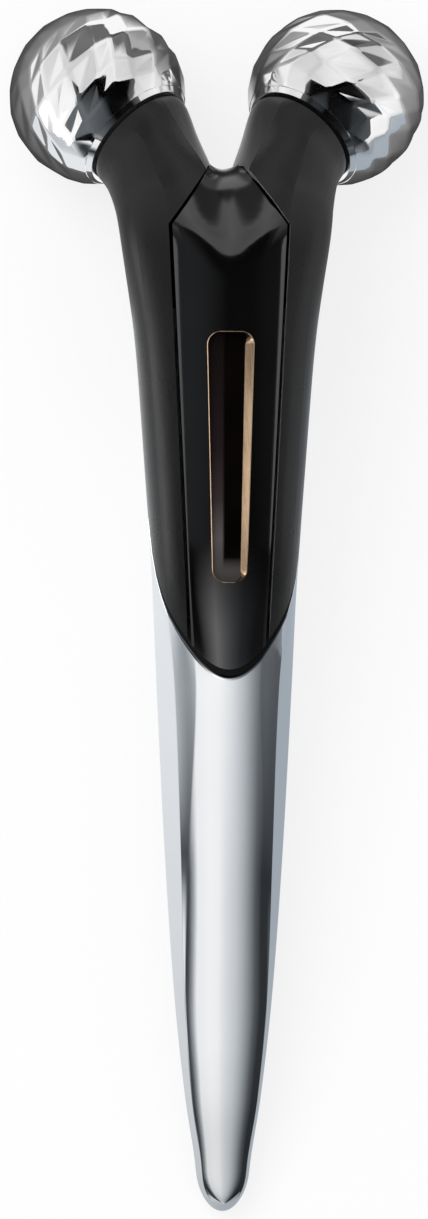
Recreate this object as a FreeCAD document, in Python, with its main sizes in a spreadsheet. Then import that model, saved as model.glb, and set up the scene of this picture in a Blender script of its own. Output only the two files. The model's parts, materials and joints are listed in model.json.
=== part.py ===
import FreeCAD, Part

# Facial roller: two faceted balls that spin on the arms of a forked head, over a tapered handle.
# The pieces are drawn in the handle's frame: Y along the handle from its tip, Z out of the front, X right.
# All of them are then laid down together as the roller lies on a table, on both balls and the handle's tip.

import math
import os

import Sketcher
from FreeCAD import Placement, Rotation, Vector

os.makedirs("parts", exist_ok=True)
doc = FreeCAD.newDocument("facial_roller")
sheet = doc.addObject("Spreadsheet::Sheet", "sheet")

SIZES = {
    # Balls and the axes that they spin on
    "ball_diameter": 26.6,
    "ball_gap": 9.4,
    "ball_at": 167.0,
    "ball_drop": 14.6,
    "splay_angle": 42.5,
    "droop_angle": 29.0,
    "facet_rows": 4,
    "neck_depth": 3.03,
    "shell_wall": 1.5,
    "ring_lip": 0.7,
    "spigot_depth": 2.2,
    "ring_bore": 10.4,
    "running_gap": 0.5,
    "glue_gap": 0.05,
    # Axles, bearings and what holds them in the arms
    "axle_diameter": 4.0,
    "shank_diameter": 6.0,
    "axle_clearance": 0.05,
    "bearing_wall": 1.5,
    "bearing_spacing": 4.0,
    "flange_thickness": 0.8,
    "flange_width": 0.8,
    "end_play": 0.1,
    "washer_thickness": 0.5,
    "clip_thickness": 0.4,
    "clip_depth": 0.4,
    "clip_width": 1.4,
    "axle_tail": 0.5,
    "cap_thickness": 1.3,
    "plug_recess": 0.6,
    "plug_thickness": 3.0,
    "boss_share": 0.3,
    "boss_reach": 0.5,
    "shank_tail": 0.8,
    "seal_width": 1.4,
    "seal_thickness": 1.5,
    "seal_depth": 1.2,
    # Shells
    "handle_wall": 1.5,
    "head_wall": 1.8,
    "tip_round": 6.0,
    "tip_blunt": 4.0,
    "arm_end_diameter": 16.9,
    "plug_ledge": 0.6,
    # Slanting joint between the handle and the head
    "joint_rise": 1.7,
    "joint_angle": 21.0,
    "gasket_thickness": 0.5,
    "gasket_inset": 0.15,
    # Front panel and its saddle between the arms
    "panel_crown_radius": 14.0,
    "panel_thickness": 2.2,
    "panel_groove": 0.35,
    "seam_foot_width": 10.8,
    "seam_top_width": 17.6,
    "seam_top_at": 147.4,
    "crotch_width": 4.8,
    "crotch_at": 155.9,
    "crotch_block": 6.2,
    "saddle_at": 141.9,
    "saddle_angle": 31.0,
    "saddle_round": 13.0,
    "valley_width": 13.0,
    "valley_depth": 1.2,
    "saddle_floor": 2.0,
    # Window
    "window_foot_at": 93.9,
    "window_length": 37.5,
    "window_top_width": 7.2,
    "window_foot_width": 5.2,
    "window_corner": 2.0,
    "bezel_width": 1.2,
    "bezel_rise": 0.1,
    "bezel_lip": 0.25,
    "bezel_depth": 0.8,
    "lens_drop": 0.9,
    "lens_thickness": 1.3,
    "fit_gap": 0.1,
    # What the head holds
    "cell_width": 6.0,
    "cell_thickness": 0.8,
    "cradle_wall": 1.2,
    "frame_foot_at": 50.0,
    "frame_margin": 1.5,
    "frame_top_height": -1.2,
    "frame_thickness": 1.8,
    "frame_gap": 0.3,
    "board_margin": 4.6,
    "board_width": 11.0,
    "board_thickness": 1.2,
    "screw_diameter": 1.6,
    "screw_head_diameter": 2.8,
    "screw_head_height": 1.0,
    "screw_inset": 1.9,
    "chip_length": 4.0,
    "chip_height": 1.2,
    "coil_length": 2.8,
    "coil_height": 2.4,
    "capacitor_length": 1.8,
    "capacitor_height": 1.8,
    "lead_diameter": 1.0,
    "contact_at": 56.0,
    "contact_length": 9.0,
    "contact_width": 4.0,
    "contact_thickness": 0.4,
}

# Sections of the handle from tip to palm: place along it, full width, heights in front of and behind
# the axis, width and drop of the raised front band, and width over the band's flanks
HANDLE_SECTIONS = {
    "tip": (0.0, 7.2, 2.9, 2.6, 6.0, 1.05, 6.2),
    "toe": (6.0, 8.0, 3.4, 3.0, 6.6, 1.15, 6.8),
    "heel": (17.0, 11.3, 5.2, 4.4, 9.7, 1.72, 9.9),
    "waist": (32.0, 14.6, 7.2, 6.0, 12.1, 2.2, 12.4),
    "grip": (54.0, 17.7, 8.8, 7.6, 11.6, 2.05, 13.8),
    "palm": (78.0, 20.2, 9.5, 8.6, 9.6, 1.3, 15.8),
}
HANDLE_WORDS = ("at", "width", "front", "back", "band", "crown", "flank")
# Sections of the head above it: place, full width, heights in front of and behind the axis
HEAD_SECTIONS = {
    "collar": (95.0, 21.8, 10.0, 9.2),
    "neck": (112.0, 24.2, 10.6, 9.6),
    "chest": (130.0, 27.1, 11.0, 9.9),
    "shoulder": (145.0, 31.4, 11.2, 10.2),
}
for station, numbers in list(HANDLE_SECTIONS.items()) + list(HEAD_SECTIONS.items()):
    for word, number in zip(HANDLE_WORDS, numbers):
        SIZES[station + "_" + word] = number

for row, (alias, number) in enumerate(SIZES.items(), start=1):
    sheet.set("A%d" % row, alias)
    sheet.set("B%d" % row, str(number))
    sheet.setAlias("B%d" % row, alias)
doc.recompute()

# Shares of a section that shape its curves
BELT = 0.1          # height of the widest line over the front's height
BULGE = 0.95        # how far a flank stands out of the straight line to the belt
BACK_FULLNESS = 0.58
RAIL_FULLNESS = 0.55
ARM_LEAVE = 1.0     # how long an arm keeps the head's direction, and the ball's axis at its end
ARM_ARRIVE = 0.6
FORK_LEAVE = 0.3    # the same for the inner sides of the two arms
FORK_ARRIVE = 0.3
ARM_STEPS = 5
RIM_CORNERS = (135, 90, 45, 0, -135, -225)
OVERLAP = 1.0       # how far a shape is drawn past the plane that it is cut at
MARGIN = 4.0        # how far the cutting shapes of the panel reach past it
SPREAD = 10.0       # circle on which an outline's corners start before the sheet's sizes place them
BEND_SHARE = 0.45   # how much of a straight run of wire the bend at its end may take
BAY_STEPS = 3       # lofted sections in each bay between two stations
TIP_STEPS = 6
FAR = 400.0         # larger than the roller, for the cutting blocks


def size(alias):
    return float(sheet.get(alias))


def mix(a, b, share):
    return a + (b - a) * share


# Frame of one ball: its centre and the axis that points from its arm outwards (side is -1 left, +1 right)
def ball_axis(side):
    splay = math.radians(size("splay_angle"))
    droop = math.radians(size("droop_angle"))
    return Vector(side * math.sin(splay) * math.cos(droop), math.cos(splay) * math.cos(droop), -math.sin(droop))


def ball_centre(side):
    spacing = size("ball_diameter") + size("ball_gap")
    return Vector(side * spacing / 2, size("ball_at"), -size("ball_drop"))


def rim_distance():
    return size("ball_diameter") / 2 - size("neck_depth")


def rim_centre(side):
    return ball_centre(side) - ball_axis(side) * rim_distance()


# Angle at which the balls and the underside of the handle's tip both touch the table
def rest_angle():
    heels = [(size(name + "_at"), -size(name + "_back")) for name in ("toe", "heel", "waist", "grip")]
    low, high = 0.0, math.radians(30)
    for _ in range(50):
        angle = (low + high) / 2
        heel = min(at * math.sin(angle) + height * math.cos(angle) for at, height in heels)
        ball = ball_low(angle)
        low, high = (angle, high) if heel > ball else (low, angle)
    return angle


def ball_low(angle):
    centre = ball_centre(1)
    return centre.y * math.sin(angle) + centre.z * math.cos(angle) - size("ball_diameter") / 2


def rest_placement():
    angle = rest_angle()
    centre = ball_centre(1)
    far_end = centre.y * math.cos(angle) - centre.z * math.sin(angle) + size("ball_diameter") / 2
    turn = Rotation(Vector(1, 0, 0), math.degrees(angle))
    return Placement(Vector(0, -far_end / 2, -ball_low(angle)), turn)


REST = rest_placement()


def roller_placement(side):
    turn = Rotation(Vector(0, 0, 1), ball_axis(side))
    return REST.multiply(Placement(ball_centre(side), turn))


# Places along the head of the cell under the window, and of the board and spine that carry it
def cell_foot():
    return size("window_foot_at") + size("bezel_width") + size("fit_gap") + size("cradle_wall")


def cell_length():
    return size("window_length") - 2 * (cell_foot() - size("window_foot_at"))


def board_foot():
    return cell_foot() - size("board_margin")


def board_end():
    return cell_foot() + cell_length() + size("board_margin")


def frame_end():
    return board_end() + size("frame_margin")


# Width of the panel's seam at a place along the head
def seam_half_width(at):
    share = (at - size("palm_at")) / (size("seam_top_at") - size("palm_at"))
    return mix(size("seam_foot_width"), size("seam_top_width"), share) / 2


def line_poles(a, b):
    return [mix(a, b, share) for share in (0, 1 / 3, 2 / 3, 1)]


def halved(poles):
    a, b, c, d = poles
    ab, bc, cd = (a + b) / 2, (b + c) / 2, (c + d) / 2
    abc, bcd = (ab + bc) / 2, (bc + cd) / 2
    middle = (abc + bcd) / 2
    return [a, ab, abc, middle], [middle, bcd, cd, d]


def crown_poles(half, front, drop):
    return [Vector(0, 0, front), Vector(half / 3, 0, front), Vector(2 * half / 3, 0, front - drop / 3),
            Vector(half, 0, front - drop)]


def back_poles(half, belt, back):
    reach = BACK_FULLNESS * (belt + back)
    return [Vector(half, 0, belt), Vector(half, 0, belt - reach), Vector(BACK_FULLNESS * half, 0, -back),
            Vector(0, 0, -back)]


# Right half of a section at one station: front band, flank, side and back, each a cubic of four poles
def station_poles(name, inset):
    half = size(name + "_width") / 2 - inset
    front = size(name + "_front") - inset
    back = size(name + "_back") - inset
    belt = BELT * front
    slim = half / (half + inset)
    if name in HANDLE_SECTIONS:
        band = size(name + "_band") / 2 * slim
        drop = size(name + "_crown") * slim
        flank = size(name + "_flank") / 2 * slim
        edge = Vector(band, 0, front - drop)
        share = (flank - band) / (half - band)
        rise = 1 - share + BULGE * share * (1 - share)
        corner = Vector(flank, 0, mix(belt, edge.z, rise))
        rails = [line_poles(edge, corner), line_poles(corner, Vector(half, 0, belt))]
    else:
        band = seam_half_width(size(name + "_at")) * slim
        drop = band ** 2 / (2 * size("panel_crown_radius"))
        edge = Vector(band, 0, front - drop)
        run = RAIL_FULLNESS * (half - band)
        rise = RAIL_FULLNESS * (edge.z - belt)
        rail = [edge, edge + Vector(run, 0, -run * 2 * drop / band), Vector(half, 0, belt + rise), Vector(half, 0, belt)]
        rails = halved(rail)
    return [crown_poles(band, front, drop), rails[0], rails[1], back_poles(half, belt, back)]


STATIONS = list(HANDLE_SECTIONS) + list(HEAD_SECTIONS)


# Slope at each station of a value that neither overshoots nor waves between stations
def station_slopes(places, values):
    rises = [(values[i + 1] - values[i]) / (places[i + 1] - places[i]) for i in range(len(values) - 1)]
    slopes = [rises[0]]
    for before, after in zip(rises, rises[1:]):
        slopes.append(2 * before * after / (before + after) if before * after > 0 else 0.0)
    slopes.append(rises[-1])
    return slopes


def cubic_between(places, values, slopes, at):
    i = max(k for k in range(len(places) - 1) if k == 0 or places[k] <= at)
    span = places[i + 1] - places[i]
    t = (at - places[i]) / span
    return ((1 + 2 * t) * (1 - t) ** 2 * values[i] + t * (1 - t) ** 2 * span * slopes[i]
            + t * t * (3 - 2 * t) * values[i + 1] + t * t * (t - 1) * span * slopes[i + 1])


def smooth_value(places, values, at):
    return cubic_between(places, values, station_slopes(places, values), at)


# Right half of the section anywhere along the handle and head; the tip is round, and blunter on its front
def poles_at(at, inset):
    places = [size(name + "_at") for name in STATIONS]
    stations = [station_poles(name, inset) for name in STATIONS]
    narrow, thin = 1.0, 1.0
    if at < size("tip_round"):
        left = 1 - at / size("tip_round")
        narrow = math.sqrt(1 - left ** 2)
        thin = (1 - left ** size("tip_blunt")) ** (1 / size("tip_blunt"))
    edges = []
    for edge in range(4):
        poles = []
        for pole in range(4):
            x = smooth_value(places, [s[edge][pole].x for s in stations], at)
            z = smooth_value(places, [s[edge][pole].z for s in stations], at)
            poles.append(Vector(x * narrow, at, z * (thin if z > 0 else narrow)))
        edges.append(poles)
    return edges


def front_at(at):
    return smooth_value([size(n + "_at") for n in STATIONS], [size(n + "_front") for n in STATIONS], at)


def curve(poles):
    bezier = Part.BezierCurve()
    bezier.setPoles(poles)
    return bezier.toShape()


def mirrored(poles):
    return [Vector(-p.x, p.y, p.z) for p in reversed(poles)]


def full_wire(edges):
    return Part.Wire([curve(p) for p in edges] + [curve(mirrored(p)) for p in reversed(edges)])


def places_between(first, last):
    stops = [size(name + "_at") for name in STATIONS[STATIONS.index(first):STATIONS.index(last) + 1]]
    places = []
    for a, b in zip(stops, stops[1:]):
        places += [mix(a, b, step / BAY_STEPS) for step in range(BAY_STEPS)]
    return places + [stops[-1]]


# Outer form of handle and head together, or the same form set in by a wall
def long_loft(first, inset):
    places = [p for p in places_between(first, "shoulder") if p >= size("tip_round") or first != "tip"]
    if first == "tip":
        rounds = [size("tip_round") * ((step + 0.6) / TIP_STEPS) ** 2 for step in range(TIP_STEPS)]
        places = [p for p in rounds if p < places[0] - size("tip_round") / TIP_STEPS / 2] + places
    return Part.makeLoft([full_wire(poles_at(p, inset)) for p in places], True, False)


# Block that fills the side of a plane that its normal points to
def block_beyond(point, normal):
    block = Part.makeBox(FAR, FAR, FAR, Vector(-FAR / 2, -FAR / 2, 0))
    block.Placement = Placement(point, Rotation(Vector(0, 0, 1), normal))
    return block


# Head side of the slanting joint, moved up the handle by a distance square to the joint
def block_above_joint(lift):
    foot = size("palm_at") + size("joint_rise")
    slant = math.radians(size("joint_angle"))
    normal = Vector(0, math.sin(slant), math.cos(slant))
    return block_beyond(Vector(0, foot, front_at(foot)) + normal * lift, normal)


# Round end of an arm, cut at the same five corners as half of the head's section
def rim_poles(inset):
    centre = rim_centre(1)
    axis = ball_axis(1)
    forward = (Vector(0, 0, 1) - axis * axis.z).normalize()
    outward = axis.cross(forward)
    radius = size("arm_end_diameter") / 2 - inset

    def spoke(degrees):
        turn = math.radians(degrees)
        return (outward * math.cos(turn) + forward * math.sin(turn)) * radius

    edges = []
    for a, b in zip(RIM_CORNERS, RIM_CORNERS[1:]):
        reach = 4 / 3 * math.tan(math.radians(b - a) / 4)
        edges.append([centre + spoke(a), centre + spoke(a) + spoke(a + 90) * reach,
                      centre + spoke(b) - spoke(b + 90) * reach, centre + spoke(b)])
    return edges


# Right half of the head's section, closed along the middle; a hollow leaves a web between the arms
def closed_half_poles(at, inset):
    edges = poles_at(at, inset)
    share = max(0.0, (at - frame_end()) / (size("shoulder_at") - frame_end()))
    side = mix(-OVERLAP, inset / 2, share) if inset else -OVERLAP
    edges[0][0] = edges[0][0] + Vector(side, 0, 0)
    edges[3][3] = edges[3][3] + Vector(side, 0, 0)
    return edges + [line_poles(edges[3][3], edges[0][0])]


# How far a pole of half a section is from the fork between the arms: 0 on it, 1 on the outer sides
def fork_distance(edge, pole):
    return {0: pole / 3, 3: 1 - pole / 3, 4: 0.0}.get(edge, 1.0)


# Point on the way from the shoulder to the arm's end, leaving along the head and arriving along the ball's axis
def arm_pole(before, start, end, share, outer):
    span = (end - start).Length
    leave = (start - before).normalize() * (span * mix(FORK_LEAVE, ARM_LEAVE, outer))
    arrive = ball_axis(1) * (span * mix(FORK_ARRIVE, ARM_ARRIVE, outer))
    rest = 1 - share
    return (start * ((1 + 2 * share) * rest ** 2) + leave * (share * rest ** 2)
            + end * (share ** 2 * (3 - 2 * share)) - arrive * (share ** 2 * rest))


# Right half of the head with its arm, from the palm to the ball's neck, a little over the middle plane
def half_loft(inset, rim_inset):
    places = places_between("palm", "shoulder")
    sections = [closed_half_poles(at, inset) for at in places]
    before = closed_half_poles(places[-1] - 1.0, inset)
    start = sections[-1]
    end = rim_poles(rim_inset)
    for step in range(1, ARM_STEPS + 1):
        section = []
        for edge, poles in enumerate(zip(before, start, end)):
            section.append([arm_pole(*three, step / ARM_STEPS, fork_distance(edge, pole))
                            for pole, three in enumerate(zip(*poles))])
        sections.append(section)
    return Part.makeLoft([Part.Wire([curve(p) for p in edges]) for edges in sections], True, False)


def mirror_left(shape):
    return shape.mirror(Vector(0, 0, 0), Vector(1, 0, 0))


def prism(points, low, high):
    wire = Part.makePolygon([Vector(x, y, low) for x, y in points + points[:1]])
    return Part.Face(wire).extrude(Vector(0, 0, high - low))


# Outline of the front panel seen from the front, widened by a gap
def panel_prism(gap, low):
    foot = size("palm_at") - MARGIN
    right = [(seam_half_width(foot) + gap, foot), (size("seam_top_width") / 2 + gap, size("seam_top_at")),
             (size("crotch_width") / 2 + gap, size("crotch_at") + gap)]
    left = [(-x, y) for x, y in reversed(right)]
    return prism(right + left, low, FAR / 4)


# Block under the panel's curved front, and the same block sunk or raised
def crown_block(rise):
    half = size("seam_top_width") / 2 + MARGIN / 2
    low = -size("saddle_floor")
    beyond = size("crotch_at") + MARGIN
    wires = []
    for at in [size("palm_at") - 2 * MARGIN] + places_between("palm", "shoulder") + [beyond]:
        inside = min(max(at, size("palm_at")), size("shoulder_at"))
        crown = poles_at(inside, 0.0)[0]
        drop = crown[0].z - crown[3].z
        fall = drop * (half / crown[3].x) ** 2
        top = crown[0].z + rise
        left, right = Vector(-half, at, top - fall), Vector(half, at, top - fall)
        arch = curve([left, mix(left, Vector(0, at, top + fall), 2 / 3), mix(right, Vector(0, at, top + fall), 2 / 3),
                      right])
        foot_right, foot_left = Vector(half, at, low + min(rise, 0)), Vector(-half, at, low + min(rise, 0))
        wires.append(Part.Wire([arch] + [curve(line_poles(a, b)) for a, b in
                                         ((right, foot_right), (foot_right, foot_left), (foot_left, left))]))
    return Part.makeLoft(wires, True, False)


# Scoop that slopes from the panel's front to the crotch and bends over it, with a valley along its middle
def saddle_scoop(sunk):
    slope = math.radians(size("saddle_angle"))
    along = Vector(0, math.cos(slope), -math.sin(slope))
    outward = Vector(0, math.sin(slope), math.cos(slope))
    bend = size("saddle_round")
    lip = Vector(0, size("saddle_at"), front_at(size("saddle_at")))
    reach = size("crotch_at") - bend - lip.y
    hub = lip + Vector(0, reach, -(bend + reach * math.sin(slope)) / math.cos(slope))
    side = size("valley_width") / 2
    depth = size("valley_depth")
    far = FAR / 8

    def corner(across, height):
        return hub + outward * (bend + height - sunk) + Vector(across, 0, 0)

    valley = [corner(0, 0), corner(side / 3, 0), corner(side * 2 / 3, depth), corner(side, depth)]
    around = [corner(side, depth), corner(far, depth), corner(far, far), corner(-far, far), corner(-far, depth),
              corner(-side, depth)]
    section = Part.Face(Part.Wire([curve(mirrored(valley)), curve(valley)]
                                  + [curve(line_poles(a, b)) for a, b in zip(around, around[1:])]))
    turn = 90 - size("saddle_angle")
    over = section.copy()
    over.rotate(hub, Vector(-1, 0, 0), turn)
    return section.extrude(along * -far).fuse([section.revolve(hub, Vector(-1, 0, 0), turn),
                                               over.extrude(Vector(0, 0, -far))])


# Where a rounded corner leaves its two straight sides, with the middle of the arc between
def corner_arc(before, corner, after, reach):
    toward, away = (before - corner).normalize(), (after - corner).normalize()
    half = toward.getAngle(away) / 2
    bisector = (toward + away).normalize()
    middle = corner + bisector * (reach / math.cos(half) - reach * math.tan(half))
    return corner + toward * reach, middle, corner + away * reach


# Window outline with rounded corners, set in by a gap
def window_wire(inset):
    foot = size("window_foot_at") + inset
    top = size("window_foot_at") + size("window_length") - inset
    low_half = size("window_foot_width") / 2 - inset
    top_half = size("window_top_width") / 2 - inset
    corners = [Vector(low_half, foot, 0), Vector(top_half, top, 0), Vector(-top_half, top, 0),
               Vector(-low_half, foot, 0)]
    arcs = []
    for i in range(len(corners)):
        before, corner, after = corners[i - 1], corners[i], corners[(i + 1) % len(corners)]
        half = (before - corner).getAngle(after - corner) / 2
        arcs.append(corner_arc(before, corner, after, (size("window_corner") - inset) / math.tan(half)))
    edges = []
    for i, arc in enumerate(arcs):
        edges += [Part.LineSegment(arcs[i - 1][2], arc[0]).toShape(), Part.Arc(*arc).toShape()]
    return Part.Wire(edges)


def window_prism(inset):
    return Part.Face(window_wire(inset)).extrude(Vector(0, 0, FAR / 8))


# Plane of the bezel's rim, which lies along the two long sides of the window
def bezel_plane():
    foot = size("window_foot_at")
    length = size("window_length")
    halves = (size("window_foot_width") / 2, size("window_top_width") / 2)
    low, high = (front_at(at) - half ** 2 / (2 * size("panel_crown_radius"))
                 for at, half in zip((foot, foot + length), halves))
    turn = Rotation(Vector(1, 0, 0), math.degrees(math.atan2(high - low, length)))
    return Placement(Vector(0, foot, low + size("bezel_rise")), turn)


# Dish whose sloping sides the bezel shows around the lens
def bezel_dish():
    depth = size("bezel_depth")
    slope = (size("bezel_width") - size("bezel_lip")) / depth

    def level(inset, height):
        wire = window_wire(inset)
        wire.Placement = bezel_plane().multiply(Placement(Vector(0, -size("window_foot_at"), height), Rotation()))
        return wire

    return Part.makeLoft([level(size("bezel_width"), -depth), level(size("bezel_lip") - depth * slope, depth)], True, True)


def feature(label, shape):
    piece = doc.addObject("Part::Feature", label)
    piece.Label = label
    piece.Shape = shape
    piece.Placement = REST
    return piece


outer_form = long_loft("tip", 0.0)
outer_half = half_loft(0.0, 0.0)


def handle_shell():
    hollow = long_loft("toe", size("handle_wall"))
    return outer_form.cut(hollow).cut(block_above_joint(0))


def seam_gasket():
    band = long_loft("toe", size("gasket_inset")).cut(long_loft("toe", size("handle_wall")))
    return band.common(block_above_joint(0)).cut(block_above_joint(size("gasket_thickness")))


# Bore in an arm's mouth that takes the plug
def mouth_bore():
    depth = size("plug_recess") + size("plug_thickness")
    radius = size("arm_end_diameter") / 2 - size("head_wall")
    axis = ball_axis(1)
    return Part.makeCylinder(radius, depth + OVERLAP, rim_centre(1) - axis * depth, axis)


def right_housing():
    hollow = half_loft(size("head_wall"), size("head_wall") + size("plug_ledge"))
    shell = outer_half.cut(hollow).cut(mouth_bore())
    shell = shell.cut(panel_prism(size("panel_groove"), -size("saddle_floor") - size("panel_groove")))
    shell = shell.common(block_above_joint(size("gasket_thickness")))
    return shell.common(block_beyond(Vector(0, 0, 0), Vector(1, 0, 0)))


def front_panel():
    thickness = size("panel_thickness")
    lip = block_beyond(Vector(0, size("crotch_at") - size("crotch_block"), 0), Vector(0, 1, 0))
    under = crown_block(-thickness).cut(saddle_scoop(thickness)).cut(lip)
    panel = crown_block(0.0).common(panel_prism(0.0, -FAR / 4)).cut(under)
    panel = panel.cut(saddle_scoop(0.0)).cut(window_prism(0.0))
    return panel.common(block_above_joint(size("gasket_thickness")))


def window_bezel():
    ring = window_prism(0.0).cut(window_prism(size("bezel_width")))
    rim = bezel_plane()
    above = block_beyond(rim.Base, rim.Rotation.multVec(Vector(0, 0, 1)))
    return ring.cut(above).cut(crown_block(-size("panel_thickness"))).cut(bezel_dish())


def window_lens():
    pane = window_prism(size("bezel_width") + size("fit_gap"))
    pane = pane.common(crown_block(-size("lens_drop")))
    return pane.cut(crown_block(-size("lens_drop") - size("lens_thickness")))


# Distances along a ball's axis from its centre, and radii about it, as sheet expressions
BALL = "(sheet.ball_diameter / 2)"
RIM = "(" + BALL + " - sheet.neck_depth)"
FACE = "(" + RIM + " - sheet.running_gap)"
SEAT = "(" + FACE + " - sheet.ring_lip)"
SPIGOT_END = "(" + SEAT + " - sheet.spigot_depth)"
FOOT = "(" + SPIGOT_END + " - sheet.glue_gap)"
FLANGE = "(" + FOOT + " + sheet.flange_thickness)"
STOP = "(" + FLANGE + " + sheet.end_play)"
SHOULDER = "(" + STOP + " + sheet.washer_thickness)"
CLIP_END = "(" + STOP + " + sheet.clip_thickness)"
AXLE_END = "(" + CLIP_END + " + sheet.axle_tail)"
CAP_START = "(" + AXLE_END + " + sheet.axle_tail)"
PLUG = "(" + RIM + " + sheet.plug_recess)"
PLUG_BACK = "(" + PLUG + " + sheet.plug_thickness)"
BOSS_ROOM = "(sheet.arm_end_diameter / 2 - sheet.head_wall - sheet.plug_ledge - sheet.shank_diameter / 2)"
BOSS_END = "(" + PLUG_BACK + " + sheet.boss_reach * " + BOSS_ROOM + ")"
SHANK_END = "(" + BOSS_END + " + sheet.shank_tail)"
AXLE = "(sheet.axle_diameter / 2)"
SHANK = "(sheet.shank_diameter / 2)"
BORE = "(" + AXLE + " + sheet.axle_clearance)"
BEARING = "(" + BORE + " + sheet.bearing_wall)"
FLANGE_EDGE = "(" + BEARING + " + sheet.flange_width)"
WELL = "(" + FLANGE_EDGE + " + 3 * sheet.glue_gap)"
CORE = "(" + BALL + " - sheet.shell_wall - sheet.glue_gap)"


# Closed outline in a body's own plane; each corner is a pair of sheet expressions
def outline(body, plane_role, corners):
    sketch = body.newObject("Sketcher::SketchObject", body.Name + "_outline")
    plane = next(f for f in body.Origin.OriginFeatures if f.Role == plane_role)
    sketch.AttachmentSupport = [(plane, "")]
    sketch.MapMode = "FlatFace"
    count = len(corners)
    turns = [math.tau * i / count for i in range(count)]
    spread = [Vector(SPREAD * math.cos(turn), SPREAD * math.sin(turn)) for turn in turns]
    for i in range(count):
        sketch.addGeometry(Part.LineSegment(spread[i], spread[(i + 1) % count]), False)
    for i in range(count):
        sketch.addConstraint(Sketcher.Constraint("Coincident", i, 2, (i + 1) % count, 1))
    for i, (across, along) in enumerate(corners):
        for kind, expression, start in (("DistanceX", across, spread[i].x), ("DistanceY", along, spread[i].y)):
            index = sketch.addConstraint(Sketcher.Constraint(kind, -1, 1, i, 1, start))
            sketch.setExpression("Constraints[%d]" % index, expression)
    doc.recompute()
    return sketch


# Piece turned about the ball's axis from an outline of (radius, distance) corners
def turned(label, side, corners, sweep=360.0):
    body = doc.addObject("PartDesign::Body", label)
    body.Label = label
    profile = outline(body, "XZ_Plane", corners)
    turn = body.newObject("PartDesign::Revolution", label + "_turned")
    turn.Profile = profile
    turn.ReferenceAxis = (profile, ["V_Axis"])
    turn.Angle = sweep
    body.Placement = roller_placement(side)
    return body


def tube(inner, outer, start, end):
    return [(inner, start), (outer, start), (outer, end), (inner, end)]


def axle(label, side):
    groove = AXLE + " - sheet.clip_depth"
    return turned(label, side, [
        ("0", "-" + SHANK_END), (SHANK, "-" + SHANK_END), (SHANK, "-" + SHOULDER), (AXLE, "-" + SHOULDER),
        (AXLE, STOP + " - sheet.glue_gap"), (groove, STOP + " - sheet.glue_gap"),
        (groove, CLIP_END + " + sheet.glue_gap"), (AXLE, CLIP_END + " + sheet.glue_gap"),
        (AXLE, AXLE_END), ("0", AXLE_END)])


def arm_plug(label, side):
    rim = "sheet.arm_end_diameter / 2 - sheet.head_wall - sheet.glue_gap"
    hole = SHANK + " + sheet.glue_gap"
    boss = SHANK + " + sheet.boss_share * " + BOSS_ROOM
    pocket = SHANK + " + sheet.seal_width + sheet.glue_gap"
    floor = "-(" + PLUG + " + sheet.seal_depth)"
    return turned(label, side, [
        (hole, "-" + BOSS_END), (boss, "-" + BOSS_END), (boss, "-" + PLUG_BACK), (rim, "-" + PLUG_BACK),
        (rim, "-" + PLUG), (pocket, "-" + PLUG), (pocket, floor), (hole, floor)])


def axle_seal(label, side):
    floor = "-(" + PLUG + " + sheet.seal_depth)"
    return turned(label, side, tube(SHANK + " + sheet.glue_gap", SHANK + " + sheet.seal_width", floor,
                                    floor + " + sheet.seal_thickness"))


def thrust_washer(label, side):
    return turned(label, side, tube(BORE, FLANGE_EDGE, "-" + SHOULDER, "-" + STOP))


def retaining_clip(label, side):
    inner = AXLE + " - sheet.clip_depth + sheet.glue_gap"
    return turned(label, side, tube(inner, AXLE + " + sheet.clip_width", STOP, CLIP_END), sweep=300.0)


def neck_ring(label, side):
    bore = "sheet.ring_bore / 2"
    face_edge = "sqrt(" + BALL + " ^ 2 - " + FACE + " ^ 2) - 2 * sheet.glue_gap"
    seat_edge = "sqrt(" + BALL + " ^ 2 - " + SEAT + " ^ 2) - 4 * sheet.glue_gap"
    spigot = "sqrt((" + BALL + " - sheet.shell_wall) ^ 2 - " + SEAT + " ^ 2) - 2 * sheet.glue_gap"
    return turned(label, side, [
        (bore, "-" + FACE), (face_edge, "-" + FACE), (seat_edge, "-" + SEAT), (spigot, "-" + SEAT),
        (spigot, "-" + SPIGOT_END), (bore, "-" + SPIGOT_END)])


def inner_bearing(label, side):
    end = "-sheet.bearing_spacing / 2"
    return turned(label, side, [
        (BORE, "-" + FLANGE), (FLANGE_EDGE, "-" + FLANGE), (FLANGE_EDGE, "-" + FOOT), (BEARING, "-" + FOOT),
        (BEARING, end), (BORE, end)])


def outer_bearing(label, side):
    end = "sheet.bearing_spacing / 2"
    return turned(label, side, [
        (BORE, end), (BEARING, end), (BEARING, FOOT), (FLANGE_EDGE, FOOT), (FLANGE_EDGE, FLANGE), (BORE, FLANGE)])


def core_cap(label, side):
    rim = WELL + " - sheet.glue_gap"
    return turned(label, side, [
        ("0", CAP_START), (rim, CAP_START), (rim, CAP_START + " + sheet.cap_thickness"),
        ("0", CAP_START + " + sheet.cap_thickness")])


def bound(piece, **expressions):
    for name, expression in expressions.items():
        piece.setExpression(name.replace("_", "."), expression)
    return piece


def bore_tool(label, radius, length, start):
    tool = bound(doc.addObject("Part::Cylinder", label), Radius=radius, Height=length)
    tool.setExpression("Placement.Base.z", start)
    return tool


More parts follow.
